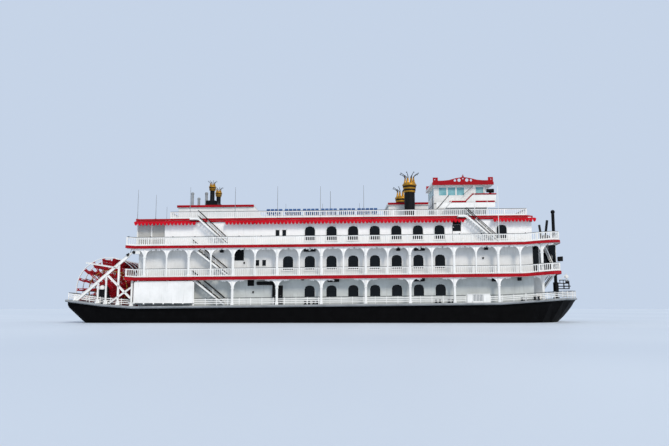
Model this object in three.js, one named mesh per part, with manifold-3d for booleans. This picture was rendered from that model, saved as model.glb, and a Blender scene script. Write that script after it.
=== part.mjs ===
// Stern-wheel paddle steamer, 1:2 scale model.
// Sizes are written as full-size metres: x forward from amidships, y to port,
// z up from the waterline. toModel() turns them into the model's millimetres.
import * as THREE from 'three';
import { mergeVertices } from 'three/addons/utils/BufferGeometryUtils.js';
import Module from 'manifold-3d';

const wasm = await Module();
wasm.setup();

// Scale and frame
const MM_PER_METRE = 500;
const X_SHIFT = 0.3;
const DRAFT = 2.0;
const GAP = 0.001;

// Hull
const BEAM_HALF = 9.0;
const HULL_HALF = 8.7;
const STERN = -35.1;
const TRANSOM = -26.3;
const WELL_HALF = 6.3;
const BOW_START = 22;
const BOW_LENGTH = 12.5;
const HULL_TOP = 2.12;

// Deck heights: underside and top of each plate, before the sheer is added
const MAIN_TOP = 2.42;
const SECOND_UNDER = 5.84;
const SECOND_TOP = 6.18;
const THIRD_UNDER = 10.0;
const THIRD_TOP = 10.32;
const SUN_UNDER = 13.82;
const SUN_TOP = 14.06;
const DECK_AFT = -27.4;
const SECOND_AFT = -26.2;
const SUN_HALF = 7.7;

// Deckhouses
const WALL_Y = 7.6;
const WALL_THICK = 0.14;
const HOUSE_FRONT = 26.5;

// Galleries and rails
const POST_Y = 8.72;
const POST_FIRST = -25.05;
const POST_STEP = 2.915;
const RAIL_Y = 8.86;
const PANEL = 0.06;

// Paddle wheel
const WHEEL_X = -30.75;
const WHEEL_Z = 4.45;
const WHEEL_RIM = 4.35;
const WHEEL_BOARD_OUT = 4.2;
const WHEEL_BOARD_IN = 3.4;
const WHEEL_ARMS = 18;
const FRAME_SPACING = 2.25;
const SHAFT_RADIUS = 0.28;
const SHAFT_SIDES = 24;

// Sheer: how far the decks rise, as x and rise in metres
const KINK = POST_FIRST + POST_STEP * 16;
const SHEER = [
  [-36, 0.72], [-33, 0.35], [-30.5, 0.03], [-26.3, -0.276],
  [KINK, 0.227], [31, 0.86], [36, 0.98],
];
const SHEER_BREAKS = [-33, -30.5, -26.3, KINK, 31];

// From the sun deck up the sheer doesn't steepen at the kink but goes on as it was
const SUN_LEVEL = 13.05;
const SUN_SLOPE = (0.227 + 0.276) / (KINK + 26.3);

function sheer(x, z = 0) {
  if (z > SUN_LEVEL && x > KINK) {
    return 0.227 + SUN_SLOPE * (x - KINK);
  }
  for (let i = 1; i < SHEER.length; i += 1) {
    const [xa, za] = SHEER[i - 1];
    const [xb, zb] = SHEER[i];
    if (x <= xb || i === SHEER.length - 1) {
      return za + (zb - za) * (x - xa) / (xb - xa);
    }
  }
  return 0;
}

// Basic closed shapes

function box(x0, x1, y0, y1, z0, z1) {
  const geometry = new THREE.BoxGeometry(x1 - x0, y1 - y0, z1 - z0);
  return geometry.translate((x0 + x1) / 2, (y0 + y1) / 2, (z0 + z1) / 2);
}

// A prism whose outline lies in the x-z plane, between two y values
function sidePrism(points, y0, y1) {
  const shape = new THREE.Shape(points.map(([x, z]) => new THREE.Vector2(x, z)));
  const geometry = new THREE.ExtrudeGeometry(shape, { depth: y1 - y0, bevelEnabled: false });
  geometry.rotateX(Math.PI / 2);
  return geometry.translate(0, y1, 0);
}

// A prism whose outline lies in plan, between two heights
function planPrism(points, z0, z1) {
  const shape = new THREE.Shape(points.map(([x, y]) => new THREE.Vector2(x, y)));
  const geometry = new THREE.ExtrudeGeometry(shape, { depth: z1 - z0, bevelEnabled: false });
  return geometry.translate(0, 0, z0);
}

// A prism whose outline lies in the y-z plane, between two x values
function crossPrism(points, x0, x1) {
  const shape = new THREE.Shape(points.map(([y, z]) => new THREE.Vector2(y, z)));
  const geometry = new THREE.ExtrudeGeometry(shape, { depth: x1 - x0, bevelEnabled: false });
  geometry.rotateX(Math.PI / 2);
  geometry.rotateZ(Math.PI / 2);
  return geometry.translate(x0, 0, 0);
}

function upright(radius, x, y, z0, z1, sides = 12, topRadius = radius) {
  const geometry = new THREE.CylinderGeometry(topRadius, radius, z1 - z0, sides);
  geometry.rotateX(Math.PI / 2);
  return geometry.translate(x, y, (z0 + z1) / 2);
}

function crossRod(radius, x, z, y0, y1, sides = 12) {
  const geometry = new THREE.CylinderGeometry(radius, radius, y1 - y0, sides);
  return geometry.translate(x, (y0 + y1) / 2, z);
}

// A square bar from one point to another
function bar(from, to, width, height) {
  const a = new THREE.Vector3(...from);
  const b = new THREE.Vector3(...to);
  const along = b.clone().sub(a);
  const geometry = new THREE.BoxGeometry(along.length(), width, height);
  const xAxis = along.clone().normalize();
  const side = Math.abs(xAxis.z) > 0.999
    ? new THREE.Vector3(0, 1, 0)
    : new THREE.Vector3(0, 0, 1).cross(xAxis).normalize();
  const up = xAxis.clone().cross(side);
  const turn = new THREE.Matrix4().makeBasis(xAxis, side, up);
  geometry.applyMatrix4(turn);
  const middle = a.add(b).multiplyScalar(0.5);
  return geometry.translate(middle.x, middle.y, middle.z);
}

function turned(profile, x, y, sides = 16) {
  const geometry = new THREE.LatheGeometry(
    profile.map(([radius, z]) => new THREE.Vector2(radius, z)), sides);
  geometry.rotateX(Math.PI / 2);
  return geometry.translate(x, y, 0);
}

function mirrored(geometry) {
  const copy = geometry.clone();
  copy.applyMatrix4(new THREE.Matrix4().makeScale(1, -1, 1));
  const index = copy.index.array;
  for (let i = 0; i < index.length; i += 3) {
    const keep = index[i];
    index[i] = index[i + 1];
    index[i + 1] = keep;
  }
  return copy;
}

// Joining and cutting

function plainCopy(geometry) {
  const copy = geometry.clone();
  copy.deleteAttribute('normal');
  copy.deleteAttribute('uv');
  return mergeVertices(copy, 1e-5);
}

function toSolid(geometry) {
  const copy = plainCopy(geometry);
  const mesh = new wasm.Mesh({
    numProp: 3,
    vertProperties: new Float32Array(copy.attributes.position.array),
    triVerts: new Uint32Array(copy.index.array),
  });
  return new wasm.Manifold(mesh);
}

function fromSolid(solid) {
  const mesh = solid.getMesh();
  const geometry = new THREE.BufferGeometry();
  const positions = new Float32Array(mesh.vertProperties);
  geometry.setAttribute('position', new THREE.BufferAttribute(positions, 3));
  geometry.setIndex(new THREE.BufferAttribute(new Uint32Array(mesh.triVerts), 1));
  return geometry;
}

function join(geometries) {
  return fromSolid(wasm.Manifold.union(geometries.map(toSolid)));
}

function cut(geometry, tools) {
  return fromSolid(toSolid(geometry).subtract(wasm.Manifold.union(tools.map(toSolid))));
}

// Bending a shape to the sheer: triangles are first split where the sheer bends

function splitAtX(geometry, x) {
  const source = plainCopy(geometry);
  const points = Array.from(source.attributes.position.array);
  const index = source.index.array;
  const crossings = new Map();
  const faces = [];
  const side = (v) => {
    const d = points[3 * v] - x;
    return Math.abs(d) < 1e-5 ? 0 : Math.sign(d);
  };
  const crossing = (a, b) => {
    const low = Math.min(a, b);
    const high = Math.max(a, b);
    const key = `${low}-${high}`;
    if (!crossings.has(key)) {
      const t = (x - points[3 * low]) / (points[3 * high] - points[3 * low]);
      points.push(x);
      points.push(points[3 * low + 1] + t * (points[3 * high + 1] - points[3 * low + 1]));
      points.push(points[3 * low + 2] + t * (points[3 * high + 2] - points[3 * low + 2]));
      crossings.set(key, points.length / 3 - 1);
    }
    return crossings.get(key);
  };
  for (let i = 0; i < index.length; i += 3) {
    const corner = [index[i], index[i + 1], index[i + 2]];
    const sides = corner.map(side);
    if (!(sides.includes(1) && sides.includes(-1))) {
      faces.push(...corner);
      continue;
    }
    for (const keep of [-1, 1]) {
      const polygon = [];
      for (let k = 0; k < 3; k += 1) {
        const next = (k + 1) % 3;
        if (sides[k] === keep || sides[k] === 0) {
          polygon.push(corner[k]);
        }
        if (sides[k] * sides[next] === -1) {
          polygon.push(crossing(corner[k], corner[next]));
        }
      }
      for (let k = 1; k + 1 < polygon.length; k += 1) {
        faces.push(polygon[0], polygon[k], polygon[k + 1]);
      }
    }
  }
  const result = new THREE.BufferGeometry();
  result.setAttribute('position', new THREE.Float32BufferAttribute(points, 3));
  result.setIndex(faces);
  return result;
}

function bendToSheer(geometry) {
  let result = plainCopy(geometry);
  for (const x of SHEER_BREAKS) {
    result = splitAtX(result, x);
  }
  const position = result.attributes.position;
  for (let i = 0; i < position.count; i += 1) {
    const z = position.getZ(i);
    position.setZ(i, z + sheer(position.getX(i), z));
  }
  return result;
}

// Long pieces are bent one by one before they are joined, which keeps their faces few
function joinBent(geometries) {
  return join(geometries.map(bendToSheer));
}

function toModel(geometry) {
  const copy = plainCopy(geometry);
  copy.translate(X_SHIFT, 0, DRAFT);
  copy.scale(MM_PER_METRE, MM_PER_METRE, MM_PER_METRE);
  const flat = copy.toNonIndexed();
  flat.computeVertexNormals();
  return flat;
}

// Materials
const paint = (color, roughness = 0.45, metalness = 0.1) => (
  new THREE.MeshStandardMaterial({ color, roughness, metalness }));
const hullBlack = paint('#141416', 0.5);
const deckGrey = paint('#8d8f90', 0.8);
const white = paint('#eeeeec');
const red = paint('#c4101c');
const darkRed = paint('#8c1218', 0.6);
const black = paint('#101012', 0.4);
const gold = paint('#c99a2e', 0.35, 0.8);
const steel = paint('#9a9ca0', 0.4, 0.8);

const boat = new THREE.Group();
boat.name = 'paddle_steamer';

function place(name, geometry, material, follow = true) {
  const shaped = follow ? bendToSheer(geometry) : geometry;
  const mesh = new THREE.Mesh(toModel(shaped), material);
  mesh.name = name;
  boat.add(mesh);
}

function placePair(name, geometry, material, follow = true) {
  const plain = plainCopy(geometry);
  place(`${name}_starboard`, plain, material, follow);
  place(`${name}_port`, mirrored(plain), material, follow);
}

// Hull: sections joined along the boat.
// Each row: x, half width of the flat bottom, half width at the turn, half width at the top,
// height of the bottom, height of the turn
const HULL_SECTIONS = [
  [-34.9, 8.2, 8.6, HULL_HALF, 2.0, 2.3],
  [-33, 8.2, 8.6, HULL_HALF, 0.3, 0.8],
  [-32.4, 8.2, 8.6, HULL_HALF, -0.2, 0.3],
  [-30.5, 8.2, 8.6, HULL_HALF, -1.4, -0.9],
  [-29.3, 8.2, 8.6, HULL_HALF, -DRAFT, -1.5],
  [-26.3, 8.2, 8.6, HULL_HALF, -DRAFT, -1.5],
  [KINK, 8.2, 8.6, HULL_HALF, -DRAFT, -1.5],
  [25, 7.3, 8.1, 8.42, -DRAFT, -1.4],
  [27, 5.9, 7.1, 7.93, -1.75, -1.0],
  [29, 4.1, 5.7, 7.14, -1.1, -0.3],
  [31, 2.4, 4.0, 5.93, -0.2, 0.6],
  [32.5, 1.3, 2.6, 4.55, 0.8, 1.5],
  [33.6, 0.7, 1.5, 3.0, 1.8, 2.3],
  [34.2, 0.4, 0.7, 1.5, 2.5, 2.8],
];

function hullShape() {
  const points = [];
  const faces = [];
  HULL_SECTIONS.forEach(([x, bottom, turn, top, zBottom, zTurn]) => {
    const zTop = HULL_TOP + sheer(x);
    points.push(x, -bottom, zBottom, x, bottom, zBottom, x, turn, zTurn);
    points.push(x, top, zTop, x, -top, zTop, x, -turn, zTurn);
  });
  const count = 6;
  for (let s = 0; s + 1 < HULL_SECTIONS.length; s += 1) {
    for (let k = 0; k < count; k += 1) {
      const a = s * count + k;
      const b = s * count + (k + 1) % count;
      faces.push(a, b, a + count, b, b + count, a + count);
    }
  }
  const last = (HULL_SECTIONS.length - 1) * count;
  for (let k = 1; k + 1 < count; k += 1) {
    faces.push(0, k + 1, k);
    faces.push(last, last + k, last + k + 1);
  }
  const geometry = new THREE.BufferGeometry();
  geometry.setAttribute('position', new THREE.Float32BufferAttribute(points, 3));
  geometry.setIndex(faces);
  return geometry;
}

// Under the stern the bottom rises to the transom, and the wheel well is open behind it
const RUDDER_X = -25.4;
const RUDDER_YS = [-3.6, 0, 3.6];
const RUDDER_STOCK = 0.14;
const STOCK_TOP = 0.6;
const counter = [
  [-20, -2.4], [-20, -DRAFT], [TRANSOM, -0.45], [TRANSOM, 4], [-36, 4], [-36, -2.4],
];
const rudderBores = RUDDER_YS.map((y) => upright(RUDDER_STOCK + 0.014, RUDDER_X, y, -2,
  STOCK_TOP, 16));
place('hull', cut(hullShape(), [sidePrism(counter, -WELL_HALF, WELL_HALF), ...rudderBores]),
  hullBlack, false);

// Rudders hang below the counter, each with its blade fused to its stock
const RUDDER_NAMES = ['rudder_starboard', 'rudder_centre', 'rudder_port'];
RUDDER_YS.forEach((y, i) => {
  const blade = sidePrism([
    [RUDDER_X - 1.5, -1.95], [RUDDER_X + 0.55, -1.95],
    [RUDDER_X + 0.55, -1.05], [RUDDER_X - 1.5, -0.85],
  ], y - 0.06, y + 0.06);
  const stock = upright(RUDDER_STOCK, RUDDER_X, y, -1.6, STOCK_TOP - GAP, 16);
  place(RUDDER_NAMES[i], join([blade, stock]), steel, false);
});

// Decks
function bowCurve(half, length, start, steps) {
  const points = [];
  for (let i = 0; i <= steps; i += 1) {
    const angle = Math.PI / 2 * i / steps;
    points.push([start + length * Math.sin(angle), half * Math.cos(angle)]);
  }
  return points;
}

function symmetricOutline(portSide) {
  const starboard = portSide.filter(([, y]) => y > 1e-6).map(([x, y]) => [x, -y]);
  return [...starboard, ...portSide.slice().reverse()];
}

const mainSide = [[STERN, BEAM_HALF], ...bowCurve(BEAM_HALF, BOW_LENGTH, BOW_START, 9)];
mainSide[mainSide.length - 1][1] = 0;
const mainPlate = planPrism(symmetricOutline(mainSide), HULL_TOP + GAP, MAIN_TOP);
const wheelWell = box(-37, TRANSOM, -WELL_HALF, WELL_HALF, 0, 5);

const upperSide = [
  [DECK_AFT, BEAM_HALF], [26.8, BEAM_HALF], [28.9, 8.55], [30.25, 7.4], [31.0, 5.4],
  [31.4, 2.5], [31.5, 0],
];
const secondPlate = planPrism(symmetricOutline(upperSide), SECOND_UNDER + GAP, SECOND_TOP);
const thirdPlate = planPrism(symmetricOutline(upperSide), THIRD_UNDER + GAP, THIRD_TOP);
const sunSide = [[-26.7, SUN_HALF], [26.0, SUN_HALF], [26.9, 7.0], [27.2, 5.4]];
const sunPlate = planPrism(symmetricOutline(sunSide), SUN_UNDER + GAP, SUN_TOP);

// Stairs: each row is name, x of the foot, x of the head, z of the foot, z of the head,
// and the distance of both sides from the middle line
const STAIR_IN = 7.78;
const STAIR_OUT = 8.58;
const AFT_FOOT = -14.2;
const AFT_HEAD = -18.2;
const FORWARD_FOOT = 21.6;
const FORWARD_HEAD = 17.6;
const BOW_MAIN = [5.1, 5.85];
const BOW_SECOND = [4.2, 4.95];
const STAIRS = [
  ['aft_stair_main', AFT_FOOT, AFT_HEAD, MAIN_TOP, SECOND_TOP, STAIR_IN, STAIR_OUT],
  ['aft_stair_second', AFT_FOOT, AFT_HEAD, SECOND_TOP, THIRD_TOP, STAIR_IN, STAIR_OUT],
  ['aft_stair_third', AFT_FOOT, AFT_HEAD, THIRD_TOP, SUN_TOP, STAIR_IN, STAIR_OUT],
  ['forward_stair_third', FORWARD_FOOT, FORWARD_HEAD, THIRD_TOP, SUN_TOP, STAIR_IN, STAIR_OUT],
  ['bow_stair_main', 27.3, 30.2, MAIN_TOP, SECOND_TOP, ...BOW_MAIN],
  ['bow_stair_second', 30.5, 28.9, SECOND_TOP, THIRD_TOP, ...BOW_SECOND],
];
const STAIR_STEPS = 10;

function stairFlight(xFoot, xHead, zFoot, zHead, inner, outer) {
  const run = (xHead - xFoot) / STAIR_STEPS;
  const rise = (zHead - zFoot) / STAIR_STEPS;
  const start = zFoot + GAP;
  const points = [[xFoot, start]];
  for (let i = 0; i < STAIR_STEPS; i += 1) {
    const top = Math.min(zFoot + rise * (i + 1), zHead - 0.02);
    points.push([xFoot + run * i, top], [xFoot + run * (i + 1), top]);
  }
  const end = xHead + Math.sign(run) * 0.05;
  points[points.length - 1][0] = end;
  points.push([end, zHead - 0.45]);
  points.push([xFoot + run * 1.6, start]);
  if (run < 0) {
    points.reverse();
  }
  return sidePrism(points.reverse(), -outer, -inner);
}

// Each flight hangs from the deck that it climbs to
function stairsTo(zDeck) {
  const flights = STAIRS.filter((row) => row[4] === zDeck).map((row) => stairFlight(...row.slice(1)));
  return flights.flatMap((flight) => [flight, mirrored(plainCopy(flight))]);
}

const wellIn = STAIR_IN - 0.04;
const wellOut = STAIR_OUT + 0.03;
const aftWells = [-1, 1].map((side) => box(AFT_HEAD, AFT_FOOT - 0.9,
  side > 0 ? wellIn : -wellOut, side > 0 ? wellOut : -wellIn, 5, 12));
const bowWell = ([inner, outer], x0, x1) => [-1, 1].map((side) => box(x0, x1,
  side > 0 ? inner - 0.04 : -outer - 0.04, side > 0 ? outer + 0.04 : 0.04 - inner, 5, 12));

// At the bow a post with brackets hangs from each upper deck, inside the curve of the main deck
function bowPosts(x, y, zFoot, zHead) {
  const knee = 0.75;
  const arch = sidePrism([
    [x - knee, zHead + 0.01], [x - 0.17, zHead - knee],
    [x + 0.17, zHead - knee], [x + knee, zHead + 0.01],
  ], -y - 0.05, -y + 0.05);
  const column = box(x - 0.17, x + 0.17, -y - 0.13, -y + 0.13, zFoot + GAP, zHead + 0.01);
  const post = join([column, arch]);
  return [post, mirrored(post)];
}
const landing = (x0, x1, side) => box(x0, x1,
  side > 0 ? SUN_HALF - 0.05 : -STAIR_OUT, side > 0 ? STAIR_OUT : 0.05 - SUN_HALF,
  SUN_UNDER + GAP, SUN_TOP);
const landings = [-1, 1].flatMap((side) => [
  landing(AFT_HEAD - 1.1, AFT_HEAD, side), landing(FORWARD_HEAD - 1.1, FORWARD_HEAD, side)]);

place('main_deck', cut(mainPlate, [wheelWell]), deckGrey);
place('second_deck', joinBent([cut(secondPlate,
  [box(-28, SECOND_AFT, -WELL_HALF, WELL_HALF, 5, 7), ...aftWells, ...bowWell(BOW_MAIN, 28.2, 30.15)]),
  ...stairsTo(SECOND_TOP), ...bowPosts(27.75, 7.5, MAIN_TOP, SECOND_UNDER)]), red, false);
place('third_deck', joinBent([cut(thirdPlate, [...aftWells, ...bowWell(BOW_SECOND, 28.95, 30.2)]),
  ...stairsTo(THIRD_TOP), ...bowPosts(27.5, 8.3, SECOND_TOP, THIRD_UNDER)]), red, false);
place('sun_deck', joinBent([sunPlate, ...landings, ...stairsTo(SUN_TOP)]), white, false);

// Windows and doors
const WINDOW_WIDTH = 1.42;
const WINDOW_CORNER = 0.6;
const WINDOW_FIRST = -3.3;
const WINDOW_STEP = 2.9;

function arched(x, width, sill, top) {
  const half = width / 2;
  const points = [[x - half, sill], [x + half, sill]];
  for (const [side, angles] of [[1, [0, 45, 90]], [-1, [90, 135, 180]]]) {
    for (const degrees of angles) {
      const angle = Math.PI * degrees / 180;
      points.push([x + side * (half - WINDOW_CORNER) + WINDOW_CORNER * Math.cos(angle),
        top - WINDOW_CORNER + WINDOW_CORNER * Math.sin(angle)]);
    }
  }
  return sidePrism(points, -WALL_Y - 1, WALL_Y + 1);
}

const hole = (x0, x1, z0, z1) => box(x0, x1, -WALL_Y - 1, WALL_Y + 1, z0, z1);

function windowRow(count, start, sill, top) {
  const row = [];
  for (let i = 0; i < count; i += 1) {
    row.push(arched(start + WINDOW_STEP * i, WINDOW_WIDTH, sill, top));
  }
  return row;
}

const MAIN_DOOR_X = -7.9;
const THIRD_DOOR_X = 15.85;
const MAIN_DOOR_WIDTH = 0.9;
const THIRD_DOOR_WIDTH = 1.15;
const THIRD_DOOR_HEAD = 12.85;

// A side door turns on a rod just outside the wall, between two lugs of the wall
const DOOR_CLEAR = 0.014;
const ROD_Y = -WALL_Y - 0.03;
const ROD_RADIUS = 0.02;
const doorAt = (x, width, foot, head) => ({
  x, width, z0: foot + 0.13 + sheer(x), z1: head - 0.02 + sheer(x),
});
const MAIN_DOOR = doorAt(MAIN_DOOR_X, MAIN_DOOR_WIDTH, MAIN_TOP, 4.75);
const THIRD_DOOR = doorAt(THIRD_DOOR_X, THIRD_DOOR_WIDTH, THIRD_TOP, THIRD_DOOR_HEAD);

function doorLeaf({ x, width, z0, z1 }) {
  return join([
    box(x + DOOR_CLEAR, x + width - DOOR_CLEAR, -WALL_Y, -WALL_Y + 0.06, z0, z1),
    box(x + DOOR_CLEAR, x + 0.08, ROD_Y - 0.015, -WALL_Y + 0.01, z0, z1),
    box(x, x + 0.05, ROD_Y - 0.015, ROD_Y + 0.015, z0, z1),
    upright(ROD_RADIUS, x, ROD_Y, z0, z1, 8),
  ]);
}

function doorLugs({ x, z0, z1 }) {
  const lug = (zLow, zHigh) => box(x - 0.05, x + 0.03, ROD_Y - 0.03, -WALL_Y + 0.05, zLow, zHigh);
  const lugs = [lug(z0 - 0.06, z0 - GAP), lug(z1 + GAP, z1 + 0.06)];
  return lugs.flatMap((piece) => [piece, mirrored(plainCopy(piece))]);
}

function house(name, aft, zUnder, zOver, openings, lugs) {
  const outer = box(aft, HOUSE_FRONT, -WALL_Y, WALL_Y, zUnder + GAP, zOver - GAP);
  const inner = box(aft + WALL_THICK, HOUSE_FRONT - WALL_THICK,
    -WALL_Y + WALL_THICK, WALL_Y - WALL_THICK, zUnder - 1, zOver + 1);
  place(name, join([bendToSheer(cut(outer, [inner, ...openings])), ...lugs]), white, false);
}

// The third deck's cabin ends aft in a porch whose walls stand a little further in
function porchWalls() {
  const [low, high] = [THIRD_TOP + GAP, SUN_UNDER - GAP];
  const side = box(-26.4, -22.75, -7.34, -7.24, low, high);
  return [side, mirrored(plainCopy(side)), box(-26.4, -26.3, -7.3, 7.3, low, high)].map(bendToSheer);
}

house('main_house', -26.0, MAIN_TOP, SECOND_UNDER, [
  ...windowRow(7, WINDOW_FIRST, 3.3, 4.95),
  hole(MAIN_DOOR_X, MAIN_DOOR_X + MAIN_DOOR_WIDTH, MAIN_TOP + 0.1, 4.75),
], doorLugs(MAIN_DOOR));
house('second_house', SECOND_AFT + 0.05, SECOND_TOP, THIRD_UNDER, [
  ...windowRow(8, WINDOW_FIRST - WINDOW_STEP, 6.98, 8.9),
  hole(-10.55, -10.05, 7.6, 8.4),
  hole(-9.65, -9.15, 7.6, 8.4),
], []);
house('third_house', -22.8, THIRD_TOP, SUN_UNDER, [
  ...windowRow(7, WINDOW_FIRST, 10.9, 12.87),
  arched(22.45, WINDOW_WIDTH, 10.9, 12.8),
  hole(-7.9, -7.4, 11.6, 12.4),
  hole(-7.0, -6.5, 11.6, 12.4),
  hole(THIRD_DOOR_X, THIRD_DOOR_X + THIRD_DOOR_WIDTH, THIRD_TOP + 0.1, THIRD_DOOR_HEAD),
], [...doorLugs(THIRD_DOOR), ...porchWalls()]);

placePair('main_door', doorLeaf(MAIN_DOOR), white, false);
placePair('third_door', doorLeaf(THIRD_DOOR), white, false);

// A thin upright panel whose outline and openings are given along it and in height
function openPanel(outline, openings, thickness) {
  const slab = sidePrism(outline, -thickness / 2, thickness / 2);
  if (openings.length === 0) {
    return slab;
  }
  return cut(slab, openings.map((opening) => sidePrism(opening, -thickness, thickness)));
}

const rectangle = (x0, x1, z0, z1) => [[x0, z0], [x1, z0], [x1, z1], [x0, z1]];

// Galleries: posts with arched brackets under a long beam, and a rail between them
const BRACKET_REACH = 0.9;
const BRACKET_DROP = 0.75;
const BEAM_DEPTH = 0.2;

function gallery(options) {
  const {
    step, first, last, zFoot, zHead, xAft, xFore, railTop, board,
  } = options;
  const top = zHead - GAP;
  const arch = top - BEAM_DEPTH;
  const edges = [[xAft - 0.1, xAft + 0.1]];
  for (let i = first; i <= last; i += step) {
    const x = POST_FIRST + POST_STEP * i;
    const half = i % 2 === 0 ? 0.17 : 0.1;
    edges.push([x - half, x + half]);
  }
  edges.push([xFore - 0.1, xFore + 0.1]);
  const openings = [];
  for (let i = 0; i + 1 < edges.length; i += 1) {
    const x0 = edges[i][1];
    const x1 = edges[i + 1][0];
    if (x1 - x0 < 2.2 * BRACKET_REACH) {
      openings.push(rectangle(x0, x1, zFoot + railTop, arch - 0.3));
      openings.push(rectangle(x0, x1, zFoot + 0.08, zFoot + railTop - 0.1));
      continue;
    }
    if (i === 0 && board) {
      openings.push(rectangle(x0, x1, board, arch));
      continue;
    }
    const knee = BRACKET_REACH * 0.3;
    openings.push([
      [x0, zFoot + railTop], [x1, zFoot + railTop], [x1, arch - BRACKET_DROP],
      [x1 - knee, arch - knee], [x1 - BRACKET_REACH, arch], [x0 + BRACKET_REACH, arch],
      [x0 + knee, arch - knee], [x0, arch - BRACKET_DROP],
    ]);
    openings.push(rectangle(x0, x1, zFoot + 0.08, zFoot + railTop - 0.1));
  }
  const parts = [[xAft - 0.1, KINK], [KINK, xFore + 0.1]].map(([x0, x1]) => {
    const inside = openings.filter((opening) => opening[0][0] > x0 && opening[1][0] < x1);
    return openPanel(rectangle(x0, x1, zFoot + GAP, top), inside, 0.16);
  });
  return joinBent(parts).translate(0, -POST_Y, 0);
}

const GALLERY_AFT = POST_FIRST - 0.07;
const GALLERY_FORE = 26.6;
const aftRail = [[-27.3, -26.22], [-26.14, GALLERY_AFT - 0.1]].map(([x0, x1]) => (
  rectangle(x0 + 0.05, x1, SECOND_TOP + 0.08, SECOND_TOP + 1.1)));
placePair('second_gallery', join([
  gallery({
    step: 1, first: 1, last: 17, zFoot: SECOND_TOP, zHead: THIRD_UNDER,
    xAft: GALLERY_AFT, xFore: GALLERY_FORE, railTop: 1.2,
  }),
  bendToSheer(openPanel(rectangle(-27.3, GALLERY_AFT - 0.05, SECOND_TOP + GAP, SECOND_TOP + 1.2), aftRail, PANEL)
    .translate(0, -POST_Y, 0)),
]), white, false);

// On the main deck every second post carries on down, and a blank board fills the aft bay
// The boarding gate is a closed bulwark in the rail
const BOARD_TOP = 5.55;
const GATE = [17.25, 20.25, 3.72];
placePair('main_gallery', join([
  gallery({
    step: 2, first: 2, last: 16, zFoot: MAIN_TOP, zHead: SECOND_UNDER,
    xAft: -26.2, xFore: 24.95, railTop: 1.0, board: BOARD_TOP,
  }),
  bendToSheer(box(GATE[0], GATE[1], -POST_Y - 0.08, -POST_Y + 0.08, MAIN_TOP + GAP, GATE[2])),
]), white, false);

// Railings follow an outline: one open panel for each straight run
function railing(corners, zFoot, height, spacing) {
  const panels = [];
  const path = [corners[0]];
  for (let i = 1; i < corners.length; i += 1) {
    const [xa, ya] = corners[i - 1];
    const [xb, yb] = corners[i];
    const between = SHEER_BREAKS.filter((x) => (x - xa - 0.2) * (x - xb + 0.2) < 0
      && Math.abs(x - xa) > 0.5 && Math.abs(x - xb) > 0.5);
    between.sort((a, b) => (xb > xa ? a - b : b - a));
    between.forEach((x) => path.push([x, ya + (yb - ya) * (x - xa) / (xb - xa)]));
    path.push(corners[i]);
  }
  for (let i = 0; i + 1 < path.length; i += 1) {
    const [xa, ya] = path[i];
    const [xb, yb] = path[i + 1];
    const length = Math.hypot(xb - xa, yb - ya);
    const count = Math.max(1, Math.round(length / spacing));
    const openings = [];
    for (let k = 0; k < count; k += 1) {
      openings.push(rectangle(length * k / count + 0.05, length * (k + 1) / count - 0.05,
        zFoot + 0.08, zFoot + height - 0.1));
    }
    const reach = (x) => (SHEER_BREAKS.includes(x) ? 0.004 : PANEL / 2);
    const outline = rectangle(-reach(xa), length + reach(xb), zFoot + GAP, zFoot + height);
    const panel = openPanel(outline, openings, PANEL);
    panel.rotateZ(Math.atan2(yb - ya, xb - xa));
    panels.push(panel.translate(xa, ya, 0));
  }
  return joinBent(panels);
}

const inset = (points, by, xEnd) => points.map(([x, y]) => [Math.min(x, xEnd), Math.max(0, y - by)]);
const upperRailSide = [
  [-27.3, 8.86], [26.75, 8.86], [28.8, 8.42], [30.12, 7.3], [30.86, 5.34], [31.26, 2.45],
];
const aroundBow = (side) => [...side.map(([x, y]) => [x, -y]), ...side.slice().reverse()];
place('third_rail', railing(aroundBow(upperRailSide), THIRD_TOP, 1.1, 5.83), white, false);
place('second_bow_rail', railing(aroundBow([[26.9, 8.84], ...upperRailSide.slice(2)]),
  SECOND_TOP, 1.2, 2.6), white, false);

const sunRailSide = [[-22.1, 7.55], [25.9, 7.55]];
const sunRailPath = [...aroundBow(sunRailSide), [-22.1, -7.55]];
place('sun_rail', railing(sunRailPath, SUN_TOP, 1.2, 5.83), white, false);

const bowRailSide = inset(bowCurve(8.86, 12.35, BOW_START, 6).slice(1, 6), 0, 40);
place('main_bow_rail', railing(aroundBow(bowRailSide), MAIN_TOP, 1.0, 3.2), white, false);
const fantailRail = railing([
  [-26.6, -8.7], [-34.95, -8.7], [-34.95, -6.5], [-31.6, -6.5],
], MAIN_TOP, 0.95, 3.0);

// Stern truss on each side: rows are x and z of both ends, and the member's depth
const TRUSS_Y = 8.6;
const TRUSS_MEMBERS = [
  [-33.95, 2.8, -26.0, 9.85, 0.4],
  [-31.05, 2.6, -31.05, 5.3, 0.2],
  [-30.0, 2.6, -30.0, 6.2, 0.2],
  [-28.4, 2.6, -28.4, 7.6, 0.24],
  [-26.6, 2.6, -26.6, 5.9, 0.24],
  [-29.8, 6.15, -26.75, 3.2, 0.26],
  [-29.6, 2.5, -26.7, 4.6, 0.22],
  [-28.5, 7.15, -32.8, 7.85, 0.2],
];

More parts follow.
